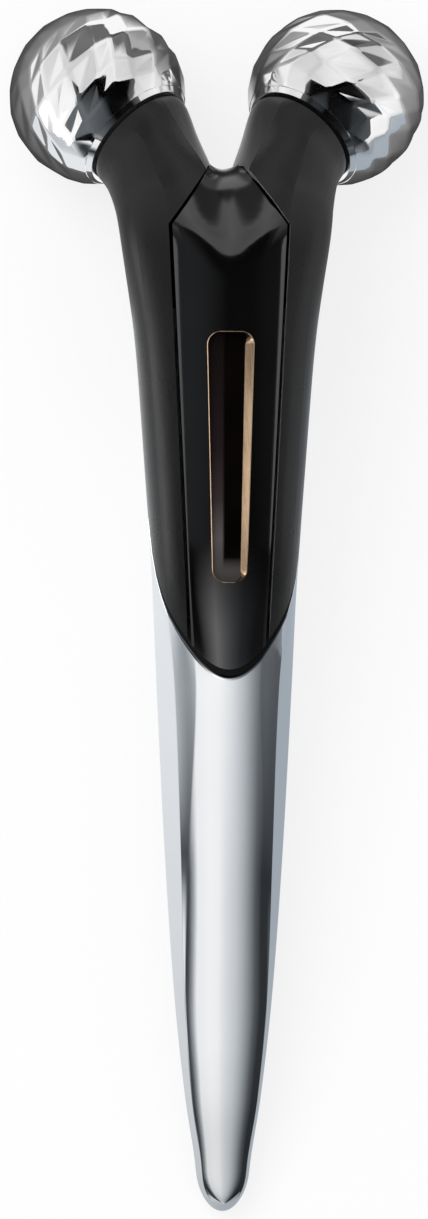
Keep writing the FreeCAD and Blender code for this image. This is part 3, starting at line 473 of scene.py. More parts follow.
class Form:
    """The long form of handle and head, set in by a wall."""

    def __init__(self, inset):
        self.stations = [station_poles(station, inset) for station in STATIONS]

    def poles(self, at, edge):
        return [Vector((smooth_value([s[edge][pole].x for s in self.stations], at),
                        smooth_value([s[edge][pole].y for s in self.stations], at))) for pole in range(4)]

    # Near the tip each line closes in on the middle, the front ones a little higher up than the rest
    def point(self, edge, t, at):
        flat = cubic(self.poles(at, edge), t)
        left = max(0.0, 1 - at / TIP_ROUND)
        if left == 0.0:
            return Vector((flat.x, at, flat.y))
        band_edge = self.stations[0][CROWN][-1].y
        share = min(1.0, max(0.0, cubic(self.stations[0][edge], t).y / band_edge))
        narrow, thin = (1 - left ** 2) ** 0.5, (1 - left ** TIP_BLUNT) ** (1 / TIP_BLUNT)
        height = mix(share * band_edge, flat.y, thin if flat.y > 0 else narrow)
        return Vector((flat.x * narrow, at + share * TIP_LIP * left ** 2, height))

    # Place along the form where the joint's plane, lifted by a distance, crosses one of its lines
    def joint_place(self, edge, t, lift):
        return crossing(JOINT_SEARCH, lambda at: joint_height(self.point(edge, t, at)) > lift)


form = Form(0.0)


def joint_height(point):
    rise = point.z - front_at(JOINT_AT)
    return (point.y - JOINT_AT) * math.sin(JOINT_SLANT) + rise * math.cos(JOINT_SLANT)


# Place along the handle from which on something is true
def crossing(search, is_true):
    low, high = search
    for _ in range(HALVINGS):
        middle = (low + high) / 2
        low, high = (low, middle) if is_true(middle) else (middle, high)
    return low


# Quads of a grid of points, column by column; a ring closes its columns, a loop closes its rows
def woven(columns, rows, ring=False, loop=False):
    faces = []
    for i in range(columns if ring else columns - 1):
        j = (i + 1) % columns
        for k in range(rows if loop else rows - 1):
            n = (k + 1) % rows
            faces.append((i * rows + k, j * rows + k, j * rows + n, i * rows + n))
    return faces


TOUCH = 1e-6            # metres within which two points are one
ALL_SMOOTH = 180.0


def link_object(name, data):
    piece = bpy.data.objects.new(name, data)
    scene.collection.objects.link(piece)
    return piece


# Mesh from points in the handle's frame, with edges kept crisp that fold by more than an angle
def mesh_object(name, points, faces, crisp=ALL_SMOOTH):
    mesh = bpy.data.meshes.new(name)
    mesh.from_pydata([place(p) for p in points], [], faces)
    mesh.validate()
    shell = bmesh.new()
    shell.from_mesh(mesh)
    bmesh.ops.remove_doubles(shell, verts=shell.verts, dist=TOUCH)
    bmesh.ops.recalc_face_normals(shell, faces=shell.faces)
    for face in shell.faces:
        face.smooth = True
    for edge in shell.edges:
        edge.smooth = edge.calc_face_angle(0.0) < math.radians(crisp)
    shell.to_mesh(mesh)
    shell.free()
    return link_object(name, mesh)


def finish_piece(piece, body, slot, *replaced):
    piece.data.materials.clear()
    piece.data.materials.append(materials[slot])
    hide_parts(*replaced)
    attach(piece, body)


# Handle: one skin from the tip to the slanting joint, turned in over the joint's rim
# Where the columns lie on each line, close together at the edges between lines, which stay crisp
CURVE_COLUMNS = 14
CROWN_STOPS = [i / CURVE_COLUMNS for i in range(CURVE_COLUMNS)] + [0.965]
FLANK_STOPS = [0.0, 0.05, 0.28, 0.5, 0.72, 0.95]
SIDE_STOPS = [0.0, 0.05, 0.25, 0.5, 0.75, 0.95]
BACK_STOPS = [0.0, 0.02] + [i / CURVE_COLUMNS for i in range(1, CURVE_COLUMNS + 1)]
STOPS = {CROWN: CROWN_STOPS, FLANK: FLANK_STOPS, SIDE: SIDE_STOPS, BACK: BACK_STOPS}
TIP_ROWS, PLAIN_STEPS, ROW_STEP = 12, 37, 1.5
PLAIN_ROWS = ([TIP_ROUND * (i / TIP_ROWS) ** 2 for i in range(TIP_ROWS)]
              + [TIP_ROUND + i * ROW_STEP for i in range(PLAIN_STEPS)])
JOINT_ROWS = 26
RIM_LOOP = 0.15         # how near the rim its last row lies, which keeps the edge crisp
RIM_DEPTH = 2.0         # how far the skin turns in below the rim


def handle_column(inner, edge, t):
    top = form.joint_place(edge, t, 0.0)
    places = PLAIN_ROWS + [mix(PLAIN_ROWS[-1], top, i / JOINT_ROWS) for i in range(1, JOINT_ROWS)]
    column = [form.point(edge, t, at) for at in places + [form.joint_place(edge, t, -RIM_LOOP), top]]
    rim = inner.point(edge, t, inner.joint_place(edge, t, 0.0))
    deep = inner.point(edge, t, inner.joint_place(edge, t, -RIM_DEPTH))
    return column + [column[-1].lerp(rim, RIM_LOOP / HANDLE_WALL), rim, deep]


def handle_body():
    inner = Form(HANDLE_WALL)
    columns = [handle_column(inner, edge, t) for edge, stops in STOPS.items() for t in stops]
    columns += [[Vector((-p.x, p.y, p.z)) for p in column] for column in reversed(columns[1:-1])]
    piece = mesh_object("handle_body", sum(columns, []), woven(len(columns), len(columns[0]), ring=True))
    finish_piece(piece, "handle", "polished_plating", "handle_shell")


# Front panel: crowned across, sinking to the crotch in a saddle with a shallow valley
CROTCH_HALF, CROTCH_AT = 2.4, 155.9
CROTCH_BLOCK, CROTCH_FLOOR = 6.2, -2.0      # length of the panel's thick end, and how low it reaches
CROTCH_ARCH = 0.7       # how much farther the panel's top edge reaches at its corners
SADDLE_AT, SADDLE_SLOPE, SADDLE_ROUND = 141.9, math.radians(31.0), 13.0
SADDLE_SWELL, SWELL_AT, SWELL_REACH = 0.35, 146.3, 5.0      # soft swelling of the slope below the crotch
VALLEY_HALF, VALLEY_DEPTH = 6.5, 1.2
CREASE = 1.8            # how wide the fold between the panel's front and the saddle is rounded
PANEL_THICKNESS = 2.0
PANEL_GAP = 0.2         # how much wider the seam beside the panel looks for its rounded edges
PANEL_ROLL, ROLL_DROP = 0.5, 0.2    # the panel falls away along its straight sides: how wide and how far
ROLL_END = 3.0          # length at the top over which that fades out
END_DROP = 0.2          # least height of the panel's end, and the width of its foot
PANEL_EDGE, EDGE_SEGMENTS = 0.06, 2     # rounding of the panel's edges
EDGE_FOLD = 40.0        # degrees from which a fold is an edge
PANEL_COLUMNS, PANEL_ROWS, CROTCH_ROWS = 48, 150, 18
PANEL_EVEN = 0.6        # how evenly the columns are spaced; at 0 they crowd towards the sides
WINDOW_FOOT, WINDOW_LENGTH = 93.9, 37.5
WINDOW_TOP_HALF, WINDOW_FOOT_HALF, WINDOW_CORNER = 3.6, 2.6, 2.0
CORNER_STEPS = 8
CUT_HEIGHTS = (2.0, 20.0)           # below and above the panel, for what cuts the window's opening


def panel_half(at):
    if at <= SEAM_TOP_AT:
        return seam_half(at) - PANEL_GAP
    return mix(SEAM_TOP / 2, CROTCH_HALF, (at - SEAM_TOP_AT) / (CROTCH_AT - SEAM_TOP_AT)) - PANEL_GAP


def saddle_slope(x, at):
    share = min(1.0, abs(x) / VALLEY_HALF)
    lift = VALLEY_DEPTH * share * share * (3 - 2 * share)
    reach = CROTCH_AT - SADDLE_ROUND - SADDLE_AT
    hub_at = SADDLE_AT + reach
    hub = front_at(SADDLE_AT) - (SADDLE_ROUND + reach * math.sin(SADDLE_SLOPE)) / math.cos(SADDLE_SLOPE)
    radius = SADDLE_ROUND + lift
    bend_at = hub_at + radius * math.sin(SADDLE_SLOPE)
    if at <= bend_at:
        return hub + radius * math.cos(SADDLE_SLOPE) + (bend_at - at) * math.tan(SADDLE_SLOPE)
    return hub + math.sqrt(max(0.0, radius ** 2 - (at - hub_at) ** 2))


def saddle_height(x, at):
    reach = min(1.0, abs(at - SWELL_AT) / SWELL_REACH)
    return saddle_slope(x, at) + SADDLE_SWELL * (1 - reach * reach) ** 2


def panel_height(x, at):
    inside = min(at, PLACES[-1])
    crown = form.poles(inside, CROWN)
    front = crown[0].y - (crown[0].y - crown[-1].y) * (x / crown[-1].x) ** 2
    saddle = saddle_height(x, at)
    blend = max(0.0, CREASE - abs(front - saddle)) / CREASE
    return min(front, saddle) - blend * blend * CREASE / 4


def panel_spot(share, at):
    x = share * panel_half(at)
    return Vector((x, at, panel_height(x, at)))


def panel_foot(share):
    return crossing(FOOT_SEARCH, lambda at: joint_height(panel_spot(share, at)) > GASKET)


# Places of the panel's columns as shares of its half width
def panel_shares():
    even = [2 * i / PANEL_COLUMNS - 1 for i in range(PANEL_COLUMNS + 1)]
    shares = [mix(math.sin(math.pi / 2 * share), share, PANEL_EVEN) for share in even]
    inside = 1 - PANEL_ROLL / panel_half(WINDOW_FOOT)
    return [-1, -inside] + [share for share in shares if abs(share) < inside] + [inside, 1]


# One column of the panel: up its front, over the end at the crotch and back down behind
def panel_column(share):
    foot, bend = panel_foot(share), CROTCH_AT - SADDLE_ROUND
    places = [mix(foot, bend, i / PANEL_ROWS) for i in range(PANEL_ROWS)]
    places += [mix(bend, CROTCH_AT, math.sin(math.pi / 2 * i / CROTCH_ROWS)) for i in range(CROTCH_ROWS + 1)]
    top = [panel_spot(share, at) for at in places]
    for p in top:
        near = max(0.0, 1 - (panel_half(p.y) - abs(p.x)) / PANEL_ROLL)
        p.z -= ROLL_DROP * near * near * min(1.0, max(0.0, (SEAM_TOP_AT - p.y) / ROLL_END))
    under = [p - Vector((0, 0, PANEL_THICKNESS)) for p in top]
    top.append(Vector((top[-1].x, top[-1].y, min(CROTCH_FLOOR, top[-1].z - END_DROP))))
    for p in under:
        if p.y > CROTCH_AT - CROTCH_BLOCK:
            p.z = min(p.z, top[-1].z)
    under[-1] = top[-1] - Vector((0, END_DROP, 0))
    for p in top + under:
        near = min(1.0, max(0.0, (p.y - CROTCH_AT + CROTCH_BLOCK) / CROTCH_BLOCK))
        p.y += CROTCH_ARCH * share * share * near * near
    return top + list(reversed(under))


def panel_sheet():
    columns = [panel_column(share) for share in panel_shares()]
    rows = len(columns[0])
    faces = woven(len(columns), rows, loop=True)
    for start in (0, (len(columns) - 1) * rows):
        for k in range(rows // 2 - 1):
            faces.append((start + k, start + k + 1, start + rows - 2 - k, start + rows - 1 - k))
    return mesh_object("panel_sheet", sum(columns, []), faces)


def window_outline():
    foot, top = WINDOW_FOOT, WINDOW_FOOT + WINDOW_LENGTH
    around = [Vector((WINDOW_FOOT_HALF, foot)), Vector((WINDOW_TOP_HALF, top)),
              Vector((-WINDOW_TOP_HALF, top)), Vector((-WINDOW_FOOT_HALF, foot))]
    points = []
    for i, corner in enumerate(around):
        back, on = (around[i - 1] - corner).normalized(), (around[(i + 1) % 4] - corner).normalized()
        half = back.angle(on) / 2
        reach = WINDOW_CORNER / math.tan(half)
        hub = corner + (back + on).normalized() * (WINDOW_CORNER / math.sin(half))
        start, end = corner + back * reach - hub, corner + on * reach - hub
        for k in range(CORNER_STEPS + 1):
            points.append(hub + start.lerp(end, k / CORNER_STEPS).normalized() * WINDOW_CORNER)
    return points


def window_cutter():
    outline = window_outline()
    count = len(outline)
    points = [Vector((p.x, p.y, height)) for height in CUT_HEIGHTS for p in outline]
    ends = [tuple(range(count)), tuple(range(count, 2 * count))]
    return mesh_object("panel_cutter", points, woven(2, count, loop=True) + ends)


def front_face():
    sheet, cutter = panel_sheet(), window_cutter()
    opening = sheet.modifiers.new("opening", "BOOLEAN")
    opening.object = cutter
    opening.operation = "DIFFERENCE"
    opening.solver = "EXACT"
    bpy.context.view_layer.update()
    mesh = bpy.data.meshes.new_from_object(sheet.evaluated_get(bpy.context.evaluated_depsgraph_get()))
    for old in (sheet, cutter):
        bpy.data.objects.remove(old)
    mesh.name = "front_face"
    for polygon in mesh.polygons:
        polygon.use_smooth = True
    piece = link_object("front_face", mesh)
    bevel = piece.modifiers.new("soft_edges", "BEVEL")
    bevel.width = PANEL_EDGE * MM
    bevel.segments = EDGE_SEGMENTS
    bevel.limit_method = "ANGLE"
    bevel.angle_limit = math.radians(EDGE_FOLD)
    bevel.harden_normals = True
    finish_piece(piece, "handle", "gloss_black", "front_panel")


# Window: a hairline rim, a wall that leans in at the right, and the sunk glass
RIM_WIDTH, RIM_RISE = 0.11, 0.1
RIM_WALL = 0.15         # how far the wall leans in
RIM_LEAN = 0.37         # how far it leans in at the right, as a share of the window's half width
GLASS_DEPTHS = (0.8, 1.25)          # at the foot and at the top
GLASS_THICKNESS, GLASS_FIT = 0.6, 0.02
OUTLINE_STEP = 1.5
WINDOW_FOLD = 25.0      # degrees from which a fold of rim and glass is crisp


# Points round the opening, each with the direction out of it
def fine_outline():
    corners = window_outline()
    points = []
    for a, b in zip(corners, corners[1:] + corners[:1]):
        count = max(1, math.ceil((b - a).length / OUTLINE_STEP))
        points += [a.lerp(b, k / count) for k in range(count)]
    along = [(b - a).normalized() for a, b in zip(points[-1:] + points[:-1], points[1:] + points[:1])]
    return [(p, Vector((t.y, -t.x))) for p, t in zip(points, along)]


def glass_height(at):
    foot = front_at(WINDOW_FOOT) - GLASS_DEPTHS[0]
    top = front_at(WINDOW_FOOT + WINDOW_LENGTH) - GLASS_DEPTHS[1]
    return mix(foot, top, (at - WINDOW_FOOT) / WINDOW_LENGTH)


def wall_foot(p, out):
    half = mix(WINDOW_FOOT_HALF, WINDOW_TOP_HALF, (p.y - WINDOW_FOOT) / WINDOW_LENGTH)
    return p - out * mix(RIM_WALL, RIM_LEAN * half, max(0.0, out.x) ** 2)


def rim_section(p, out):
    edge, foot = p - out * RIM_WIDTH, wall_foot(p, out)
    surface, sunk = panel_height(p.x, p.y), glass_height(foot.y)
    below = sunk - GLASS_THICKNESS
    return [(p.x, p.y, sunk), (p.x, p.y, surface), (edge.x, edge.y, surface + RIM_RISE),
            (foot.x, foot.y, sunk), (foot.x, foot.y, below), (p.x, p.y, below)]


def glass_section(p, out):
    edge = wall_foot(p, out) - out * GLASS_FIT
    height = glass_height(edge.y)
    return [(edge.x, edge.y, height), (edge.x, edge.y, height - GLASS_THICKNESS)]


def window():
    outline = fine_outline()
    rim = [rim_section(p, out) for p, out in outline]
    faces = woven(len(rim), len(rim[0]), ring=True, loop=True)
    piece = mesh_object("window_rim", sum(rim, []), faces, WINDOW_FOLD)
    finish_piece(piece, "handle", "bronze_trim", "window_bezel")
    glass = [glass_section(p, out) for p, out in outline]
    ends = [tuple(range(start, 2 * len(glass), 2)) for start in (0, 1)]
    piece = mesh_object("window_glass", sum(glass, []), woven(len(glass), 2, ring=True) + ends, WINDOW_FOLD)
    finish_piece(piece, "handle", "smoked_lens", "window_lens")


# Balls: an icosahedron's faces divided in rows of facets, each facet a little cushioned
BALL = 13.3             # radius at the facets' corners
BALL_SPACING, BALL_AT, BALL_DROP = 36.0, 167.0, 14.6
SPLAY, DROOP = math.radians(42.5), math.radians(29.0)
FACET_ROWS = 4          # rows of facets in one face of the icosahedron
FACET_CUTS = 6          # rows of small triangles in one facet
FACET_TOUCH = 1e-4      # millimetres within which two corners are one
CUSHION = 0.35          # how far a facet swells from flat towards the round ball
NECK_DEPTH, RUNNING_GAP, RING_LIP = 3.03, 0.5, 0.7
NECK_SEAT = BALL - NECK_DEPTH - RUNNING_GAP - RING_LIP      # from the middle to where the neck ring begins
RIM_TURN = 0.82         # share of its width to which the shell is turned in there


def ball_centre(side):
    return Vector((side * BALL_SPACING / 2, BALL_AT, -BALL_DROP))


def ball_axis(side):
    level = math.cos(DROOP)
    return Vector((side * math.sin(SPLAY) * level, math.cos(SPLAY) * level, -math.sin(DROOP)))


def on_ball(point):
    return point.normalized() * BALL


def cushioned(point):
    return point.lerp(on_ball(point), CUSHION)


# The small triangles of a triangle divided in rows, their corners set in place one by one
def divided(a, b, c, rows, set_in_place):
    grid = {(i, j): set_in_place((a * (rows - i - j) + b * i + c * j) / rows)
            for i in range(rows + 1) for j in range(rows + 1 - i)}
    for i, j in grid:
        if i + j < rows:
            yield grid[i, j], grid[i + 1, j], grid[i, j + 1]
        if i + j + 2 <= rows:
            yield grid[i + 1, j], grid[i + 1, j + 1], grid[i, j + 1]


def icosahedron():
    height, reach = 1 / math.sqrt(5), 2 / math.sqrt(5)
    turns = [math.tau * i / 5 for i in range(5)]
    upper = [Vector((reach * math.cos(turn), reach * math.sin(turn), height)) for turn in turns]
    lower = [-p for p in upper]
    lower = lower[2:] + lower[:2]
    top, bottom = Vector((0, 0, 1)), Vector((0, 0, -1))
    for i in range(5):
        n = (i + 1) % 5
        yield top, upper[i], upper[n]
        yield upper[i], lower[i], upper[n]
        yield upper[n], lower[i], lower[n]
        yield bottom, lower[n], lower[i]


# Shell of a ball about its own middle, open at the neck, where its rim is turned in
def ball_shell():
    ball = bmesh.new()
    for face in icosahedron():
        for facet in divided(*face, FACET_ROWS, on_ball):
            for small in divided(*facet, FACET_CUTS, cushioned):
                ball.faces.new([ball.verts.new(p) for p in small])
    bmesh.ops.remove_doubles(ball, verts=ball.verts, dist=FACET_TOUCH)
    everything = list(ball.verts) + list(ball.edges) + list(ball.faces)
    bmesh.ops.bisect_plane(ball, geom=everything, plane_co=(0, 0, -NECK_SEAT), plane_no=(0, 0, -1),
                           clear_outer=True)
    rim = [e for e in ball.edges if e.is_boundary]
    turned = bmesh.ops.extrude_edge_only(ball, edges=rim)["geom"]
    for vert in [g for g in turned if isinstance(g, bmesh.types.BMVert)]:
        vert.co.xy *= RIM_TURN
    for edge in rim:
        edge.smooth = False
    return ball


def faceted_ball(side):
    ball = ball_shell()
    stand = Vector((0, 0, 1)).rotation_difference(ball_axis(side)).to_matrix()
    for vert in ball.verts:
        vert.co = place(stand @ vert.co + ball_centre(side))
    bmesh.ops.recalc_face_normals(ball, faces=ball.faces)
    for face in ball.faces:
        face.smooth = True
    word = "left" if side < 0 else "right"
    mesh = bpy.data.meshes.new(word + "_ball")
    ball.to_mesh(mesh)
    ball.free()
    piece = link_object(word + "_ball", mesh)
    finish_piece(piece, word + "_roller", "ball_plating", word + "_faceted_shell")


# Studio: pale floor, white surroundings, and dark and bright cards that only reflections see
def glossy_only(piece):
    piece.visible_camera = False
    piece.visible_diffuse = False
    piece.visible_shadow = False
    piece.visible_transmission = False
    piece.visible_volume_scatter = False


# Glowing card, clear where its cover is 0
def emission(s, colour, strength=None, cover=None):
    glow = s.add("Emission")
    s.link(colour, glow.inputs["Color"])
    if strength is not None:
        s.link(strength, glow.inputs["Strength"])
    if cover is None:
        s.link(glow.outputs[0], s.out.inputs[0])
    else:
        s.mixed(cover, s.add("BsdfTransparent"), glow)


# Stops of a colour ramp from places between -half and half and their brightness, the darker the cooler
def tones(shades, half, cool=0.0):
    return [((at + half) / (2 * half), grey(value, cool * max(0.0, 1 - value))) for at, value in shades]


def metres(*values):
    return [value * MM for value in values]


FLOOR_HALF = 3.0        # metres
FLOOR_HEIGHT, SHEET_HEIGHT = -0.0002, -0.0001
FLOOR_GREYS = (0.79, 0.81)
FLOOR_WHITE = 0.78      # share of plain white that the background shows; the rest is lit and shadowed


def flat_sheet(name, start, end, height, material):
    mesh = bpy.data.meshes.new(name)
    corners = [(-FLOOR_HALF, start, height), (FLOOR_HALF, start, height), (FLOOR_HALF, end, height),
               (-FLOOR_HALF, end, height)]
    mesh.from_pydata(corners, [], [(0, 1, 2, 3)])
    mesh.materials.append(material)
    return link_object(name, mesh)


def floor():
    s = Shader("pale_floor")
    rays = s.add("LightPath").outputs
    seen = s.math("MAXIMUM", s.math("MAXIMUM", rays["Is Camera Ray"], rays["Is Glossy Ray"]),
                  rays["Is Transmission Ray"])
    diffuse = s.add("BsdfDiffuse")
    s.link(s.mottled(s.noise(scale=4, detail=2), *map(grey, FLOOR_GREYS)), diffuse.inputs["Color"])
    white = s.add("Emission")
    white.inputs["Strength"].default_value = 1.0
    s.mixed(s.math("MULTIPLY", seen, FLOOR_WHITE), diffuse, white)
    piece = flat_sheet("floor", -FLOOR_HALF, FLOOR_HALF, FLOOR_HEIGHT, s.material)


SKY = [(0.0, 0.66), (0.06, 0.82), (0.25, 0.92), (1.0, 0.95)]    # height and brightness of the surroundings
UNEVEN_SCALE, UNEVEN_NOISE, UNEVEN_LIGHT = 2.2, (0.35, 0.65), (0.86, 1.1)   # their soft unevenness
# Dimmer places: the direction, the cosines at which one begins and is full, and its share of light
DIM_PLACES = [
    ((-0.503, 0.547, 0.671), (0.8, 0.98), 0.7),
    ((0.64, 0.523, 0.566), (0.8, 0.98), 0.7),
    ((0.51, 0.849, 0.139), (0.945, 0.974), 0.19),
    ((-0.366, 0.907, 0.208), (0.945, 0.974), 0.19),
    ((0.104, 0.991, 0.087), (0.956, 0.985), 0.19),
]


def surroundings():
    world = bpy.data.worlds.new("studio")
    scene.world = world
    world.use_nodes = True
    s = Tree(world.node_tree)
    where = s.add("TexCoord").outputs["Generated"]
    colour = s.ramp(s.parts(where)[2], [(height, grey(value)) for height, value in SKY])
    strength = s.range(s.noise(UNEVEN_SCALE, detail=1, vector=where), *UNEVEN_NOISE, *UNEVEN_LIGHT)
    for way, cosines, share in DIM_PLACES:
        near = s.add("VectorMath", operation="DOT_PRODUCT")
        s.link(where, near.inputs[0])
        near.inputs[1].default_value = way
        strength = s.math("MULTIPLY", strength, s.range(near.outputs["Value"], *cosines, 1.0, share))
    background = world.node_tree.nodes["Background"]
    s.link(colour, background.inputs["Color"])
    s.link(strength, background.inputs["Strength"])


# Curved cards about the handle's axis: their brightness depends on the angle about it, 0 in front
ARCH_RADIUS = 60.0
ARCH_STEPS = 60
ARCH_COOL, SHEET_COOL = 0.1, 0.2    # how cool the dark parts of curved cards and of floor sheets are
QUARTER = 90
TENT_SHADES = [(-90, 0.55), (-80, 0.3), (-74, 0.14), (-69, 0.04), (-65, 0.03), (-61, 0.1), (-56, 0.38),
               (-50, 0.88), (-30, 0.95), (-14, 0.92), (-3, 0.8), (8, 0.7), (21, 0.6), (33, 0.45), (45, 0.27),
               (56, 0.1), (66, 0.03), (76, 0.03), (84, 0.03), (90, 0.06)]
COLLAR_SHADES = [(-90, 0.8), (-80, 0.55), (-74, 0.4), (-69, 0.34), (-65, 0.34), (-61, 0.45), (-56, 0.75),
                 (-50, 0.92), (-30, 0.96), (-14, 0.94), (-3, 0.88), (8, 0.8), (21, 0.64), (33, 0.48),
                 (45, 0.3), (56, 0.16), (66, 0.13), (76, 0.12), (84, 0.1), (90, 0.1)]
FLAG_SHADES = [(-90, 0.12), (-62, 0.13), (-40, 0.15), (-25, 0.12), (-10, 0.05), (0, 0.0), (30, 0.01),
               (45, 0.04), (54, 0.04), (60, 0.08), (90, 0.1)]
BOX_SHADES = [(-90, 0.0), (-36, 0.0), (-14, 1.5), (-3, 0.9), (8, 0.5), (21, 0.2), (40, 0.05), (62, 0.05),
              (72, 0.13), (82, 0.18), (90, 0.25)]
EDGE_SHADES = [(-90, 3.0), (-76, 3.0), (-72, 1.2), (90, 1.2)]
TENT_CHANGE = (45.0, 77.0)              # where along the handle the tent's shades turn into the collar's
TENT_FADE = (-40.0, 8.0, 0.55, 1.0)     # where a card's strength changes: from, to, and the strengths there
BOX_FADE = (84.0, 96.0, 1.0, 0.1)


def stage_mesh(name, points, faces, material):
    piece = mesh_object(name, points, faces)
    piece.data.materials.append(material)
    glossy_only(piece)


# Card from one place along the handle to another, between two angles; it may turn into the far shades
# along its length, change in strength, or become clear
def arch(name, span, angles, shades, far=None, fade=None, clear=None):
    s = Shader(name)
    across, along, height = s.handle_spot()
    share = s.range(s.math("ARCTAN2", across, height), -math.pi / 2, math.pi / 2, 0.0, 1.0)
    colour = s.ramp(share, tones(shades, QUARTER, ARCH_COOL))
    if far:
        changed = s.ramp(share, tones(far, QUARTER, ARCH_COOL))
        colour = s.blend(s.range(along, *TENT_CHANGE, 0.0, 1.0), colour, changed)
    strength = s.range(along, *fade) if fade else None
    cover = s.range(along, *clear, 1.0, 0.0) if clear else None
    emission(s, colour, strength, cover)
    points = []
    for k in range(ARCH_STEPS + 1):
        turn = math.radians(mix(*angles, k / ARCH_STEPS))
        points += [(ARCH_RADIUS * math.sin(turn), at, ARCH_RADIUS * math.cos(turn)) for at in span]
    stage_mesh(name, points, woven(ARCH_STEPS + 1, len(span)), s.material)


# Dark card in front of the head: black opposite the balls, greyer at the left opposite the window
CARD_LOW = [(-100, 0.2), (-60, 0.13), (-20, 0.1), (3, 0.02), (60, 0.0), (100, 0.08)]
CARD_HIGH = [(-100, 0.12), (-75, 0.08), (-60, 0.0), (60, 0.0), (75, 0.08), (100, 0.12)]
CARD_CHANGE = (130.0, 150.0)            # where along the handle the low shades turn into the high ones
CARD_HALF, CARD_START, CARD_END, CARD_HEIGHT = 100.0, 86.0, 205.0, 100.0


def front_card():
    s = Shader("front_card")
    across, along, _ = s.handle_spot()
    share = s.range(across, -CARD_HALF, CARD_HALF, 0.0, 1.0)
    low, high = (s.ramp(share, tones(shades, CARD_HALF)) for shades in (CARD_LOW, CARD_HIGH))
    emission(s, s.blend(s.range(along, *CARD_CHANGE, 0.0, 1.0), low, high))
    corners = [(-CARD_HALF, CARD_START, CARD_HEIGHT), (CARD_HALF, CARD_START, CARD_HEIGHT),
               (CARD_HALF, CARD_END, CARD_HEIGHT), (-CARD_HALF, CARD_END, CARD_HEIGHT)]
    stage_mesh("front_card", corners, [(0, 1, 2, 3)], s.material)


# Sheets on the floor that only reflections see, with painted shade: grey beside the handle, and a painted
# shadow dark under the balls
SHEET_SHADES = [(-300, 0.75), (-100, 0.8), (-30, 0.86), (-10, 0.84), (0, 0.6), (15, 0.46), (30, 0.42),
                (100, 0.45), (300, 0.55)]
SHEET_HALF = 300.0
SHEET_SPLIT = 45.0      # where along the floor one sheet ends and the other begins
SHEET_FADE, SHEET_LOW = (-100.0, 0.0), 0.72     # where the sheet darkens towards the tip, and to what share
# The painted shadow under the balls fades out over this distance
BALL_REACH = 200.0      # distance from a ball over which the floor gets lighter, at these shares of it
BALL_SHADES = [(0.0, 0.03), (0.066, 0.05), (0.126, 0.1), (0.18, 0.19), (0.3, 0.28), (1.0, 0.42)]
# Painted light, a lighter wedge of floor beyond the balls: where it begins and is full, how it spreads, and
# its soft edge
GAP_START, GAP_FULL, GAP_SPREAD, GAP_SOFT = 100.0, 120.0, 0.4, (0.0, 12.0)
# The lighter strip under the fork is painted light too
FORK_SIDE, FORK_END = (4.0, 9.0), (74.0, 86.0)  # lighter strip under the fork: its soft edge and end
GAP_SHADE = 1.0         # brightness of both


def floor_sheet(name, start, end, shades):
    s = Shader(name)
    emission(s, *shades(s, s.model_spot()))
    piece = flat_sheet(name, start, end, SHEET_HEIGHT, s.material)
    glossy_only(piece)


# Painted shade on the sheet beside the handle: lighter at the left than at the right, darker towards the tip
def handle_sheet(s, where):
    across, along, _ = s.parts(where)
    share = s.range(across, *metres(-SHEET_HALF, SHEET_HALF), 0.0, 1.0)
    colour = s.ramp(share, tones(SHEET_SHADES, SHEET_HALF, SHEET_COOL))
    return colour, s.range(along, *metres(*SHEET_FADE), SHEET_LOW, 1.0)


def ball_distance(s, where, side):
    node = s.add("VectorMath", operation="DISTANCE")
    s.link(where, node.inputs[0])
    middle = place(ball_centre(side))
    node.inputs[1].default_value = (middle.x, middle.y, 0)
    return node.outputs["Value"]
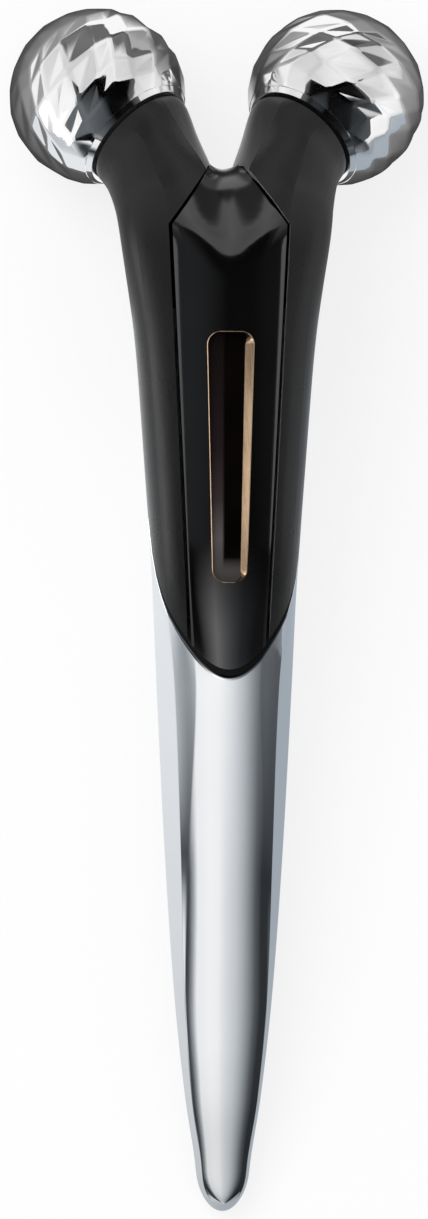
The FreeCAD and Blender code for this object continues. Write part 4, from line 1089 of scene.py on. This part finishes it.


# Painted shadow under the balls, with painted light in the wedge beyond them and in the strip under the fork
def ball_sheet(s, where):
    nearest = s.math("MINIMUM", ball_distance(s, where, -1), ball_distance(s, where, 1))
    dark = s.ramp(s.range(nearest, *metres(0.0, BALL_REACH), 0.0, 1.0),
                  [(at, grey(value)) for at, value in BALL_SHADES])
    across, along, _ = s.parts(where)
    aside = s.math("ABSOLUTE", across)
    beyond = s.math("MAXIMUM", s.math("SUBTRACT", along, GAP_START * MM), 0.0)
    outside = s.math("SUBTRACT", aside, s.math("MULTIPLY", beyond, GAP_SPREAD))
    gap = s.math("MULTIPLY", s.range(outside, *metres(*GAP_SOFT), 1.0, 0.0),
                 s.range(along, *metres(GAP_START, GAP_FULL), 0.0, 1.0))
    fork = s.math("MULTIPLY", s.range(aside, *metres(*FORK_SIDE), 1.0, 0.0),
                  s.range(along, *metres(*FORK_END), 1.0, 0.0))
    return (s.blend(s.math("MAXIMUM", gap, fork), dark, grey(GAP_SHADE)),)


# Soft lamp above and to the left, aimed at the middle of the object
KEY_SPOT = Vector((-0.35, 0.25, 0.6))
KEY_SIZE, KEY_POWER = 0.5, 3.0


def soft_key():
    data = bpy.data.lights.new("soft_key", "AREA")
    data.size = KEY_SIZE
    data.energy = KEY_POWER
    lamp = link_object("soft_key", data)
    lamp.location = KEY_SPOT
    lamp.rotation_euler = (-KEY_SPOT).to_track_quat("-Z", "Y").to_euler()
    lamp.visible_glossy = False


def dress_frame():
    for part in frame["record"]["subparts"]:
        piece = nodes[part["node"]]
        piece.data.materials.clear()
        piece.data.materials.append(materials[part["material_slot"]])


add_camera()
materials = {name: make(name, **values) for name, (make, values) in MATERIALS.items()}
floor()
surroundings()
arch("handle_tent", span=(-150, 77), angles=(-90, 90), shades=TENT_SHADES, far=COLLAR_SHADES, fade=TENT_FADE)
arch("left_collar", span=(77, 90), angles=(-90, -62), shades=COLLAR_SHADES, clear=(77, 90))
arch("panel_light", span=(77, 96), angles=(-62, 90), shades=BOX_SHADES, fade=BOX_FADE)
arch("left_flag", span=(96, 172), angles=(-62, 2), shades=FLAG_SHADES, clear=(148, 172))
arch("edge_light", span=(90, 160), angles=(-90, -72), shades=EDGE_SHADES, clear=(135, 160))
arch("right_flag", span=(96, 172), angles=(2, 68), shades=FLAG_SHADES, clear=(148, 172))
front_card()
floor_sheet("handle_sheet", -FLOOR_HALF, SHEET_SPLIT * MM, handle_sheet)
floor_sheet("ball_sheet", SHEET_SPLIT * MM, FLOOR_HALF, ball_sheet)
dress_frame()
soft_key()
handle_body()
front_face()
window()
faceted_ball(-1)
faceted_ball(1)

scene.view_settings.view_transform = "Standard"
